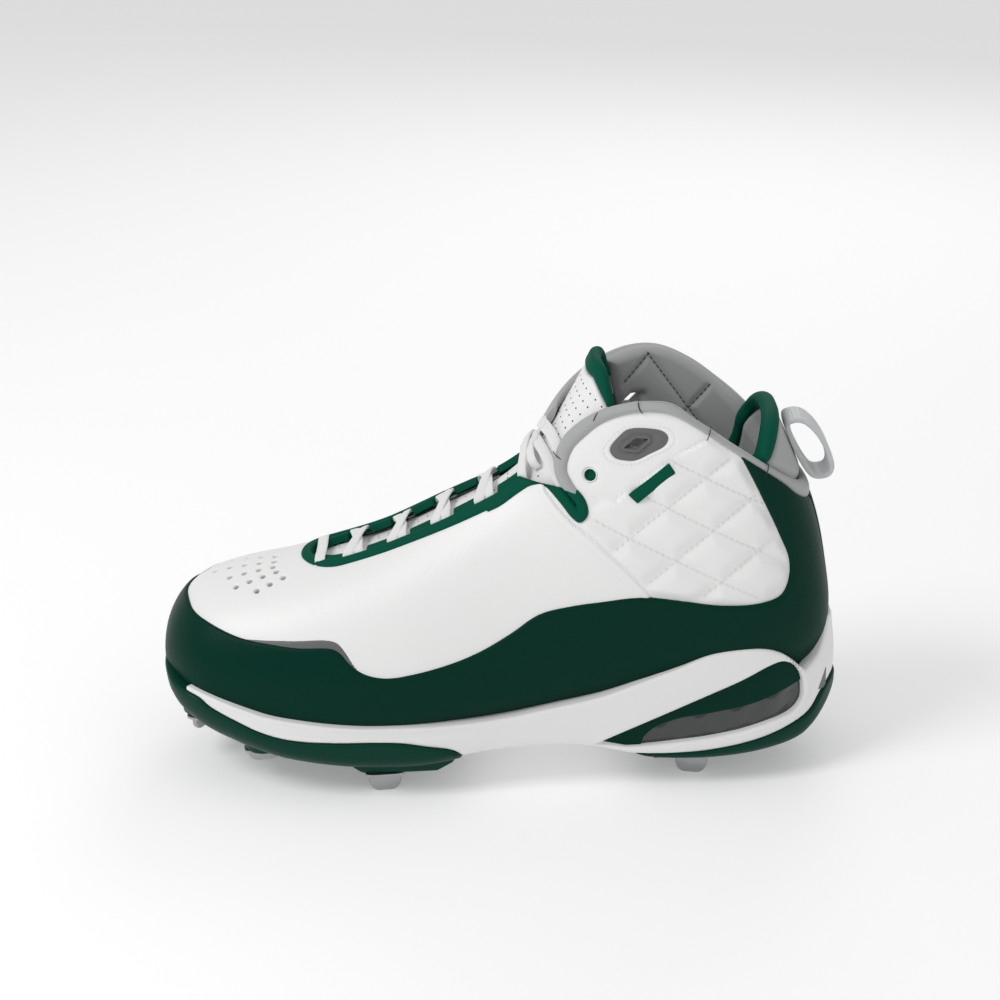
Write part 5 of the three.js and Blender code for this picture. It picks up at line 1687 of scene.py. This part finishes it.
def make_camera():
    data = bpy.data.cameras.new("camera")
    data.sensor_width = SENSOR
    data.lens = SENSOR * FOCAL_PIXELS / FRAME_PIXELS
    data.clip_start = 0.01
    camera = bpy.data.objects.new("camera", data)
    back = np.array([0, -math.cos(PITCH), math.sin(PITCH)])
    camera.location = (np.array(AIM) + back * CAMERA_DISTANCE + ORIGIN) / 1000
    camera.rotation_euler = (math.pi / 2 - PITCH, 0, 0)
    bpy.context.scene.collection.objects.link(camera)
    bpy.context.scene.camera = camera


FLOOR_HALF = 6.0
FLOOR_GREY = 0.85
FLOOR_GLOW = 0.24
SKY_STRENGTH = 0.52
LIGHTS = [
    # name, place and aim in metres, size, watts
    ("key", (-1.0, -0.6, 1.3), (0, 0, 0.08), 0.7, 11),
    ("fill", (0.9, -1.0, 0.8), (0, 0, 0.08), 1.0, 0.8),
    ("rim", (0.3, 1.2, 0.9), (0, 0, 0.1), 0.8, 3),
]


def add_light(name, place, aim, size, power):
    data = bpy.data.lights.new(name, "AREA")
    data.shape = "DISK"
    data.size = size
    data.energy = power
    light = bpy.data.objects.new(name, data)
    light.location = place
    direction = Vector(aim) - Vector(place)
    light.rotation_euler = direction.to_track_quat("-Z", "Y").to_euler()
    bpy.context.scene.collection.objects.link(light)


def make_stage():
    mesh = bpy.data.meshes.new("floor")
    corners = [(x * FLOOR_HALF, y * FLOOR_HALF, 0) for x, y in ((-1, -1), (1, -1), (1, 1), (-1, 1))]
    mesh.from_pydata(corners, [], [(0, 1, 2, 3)])
    floor = bpy.data.objects.new("floor", mesh)
    paper = bpy.data.materials.new("paper")
    paper.use_nodes = True
    sockets = paper.node_tree.nodes["Principled BSDF"].inputs
    sockets["Base Color"].default_value = (FLOOR_GREY, FLOOR_GREY, FLOOR_GREY, 1)
    sockets["Roughness"].default_value = 0.9
    sockets["Emission Color"].default_value = (1, 1, 1, 1)
    sockets["Emission Strength"].default_value = FLOOR_GLOW
    mesh.materials.append(paper)
    bpy.context.scene.collection.objects.link(floor)
    world = bpy.data.worlds.new("studio")
    world.use_nodes = True
    sky = world.node_tree.nodes["Background"].inputs
    sky["Color"].default_value = (1, 1, 1, 1)
    sky["Strength"].default_value = SKY_STRENGTH
    bpy.context.scene.world = world
    bpy.context.scene.view_settings.view_transform = "Standard"
    for light in LIGHTS:
        add_light(*light)


make_camera()
make_materials()
make_upper()
make_foxing()
make_trims()
make_badges()
make_collar()
make_tongue()
make_throat_edge()
make_heel_tab()
make_pull_loop()
make_laces()
make_insole()
make_midsole()
make_window()
make_outsoles()
for stud_row in STUD_ROWS:
    make_stud(stud_row)
make_threads()
make_roll_stitches()
make_tongue_perforations()
make_rings()
make_stage()
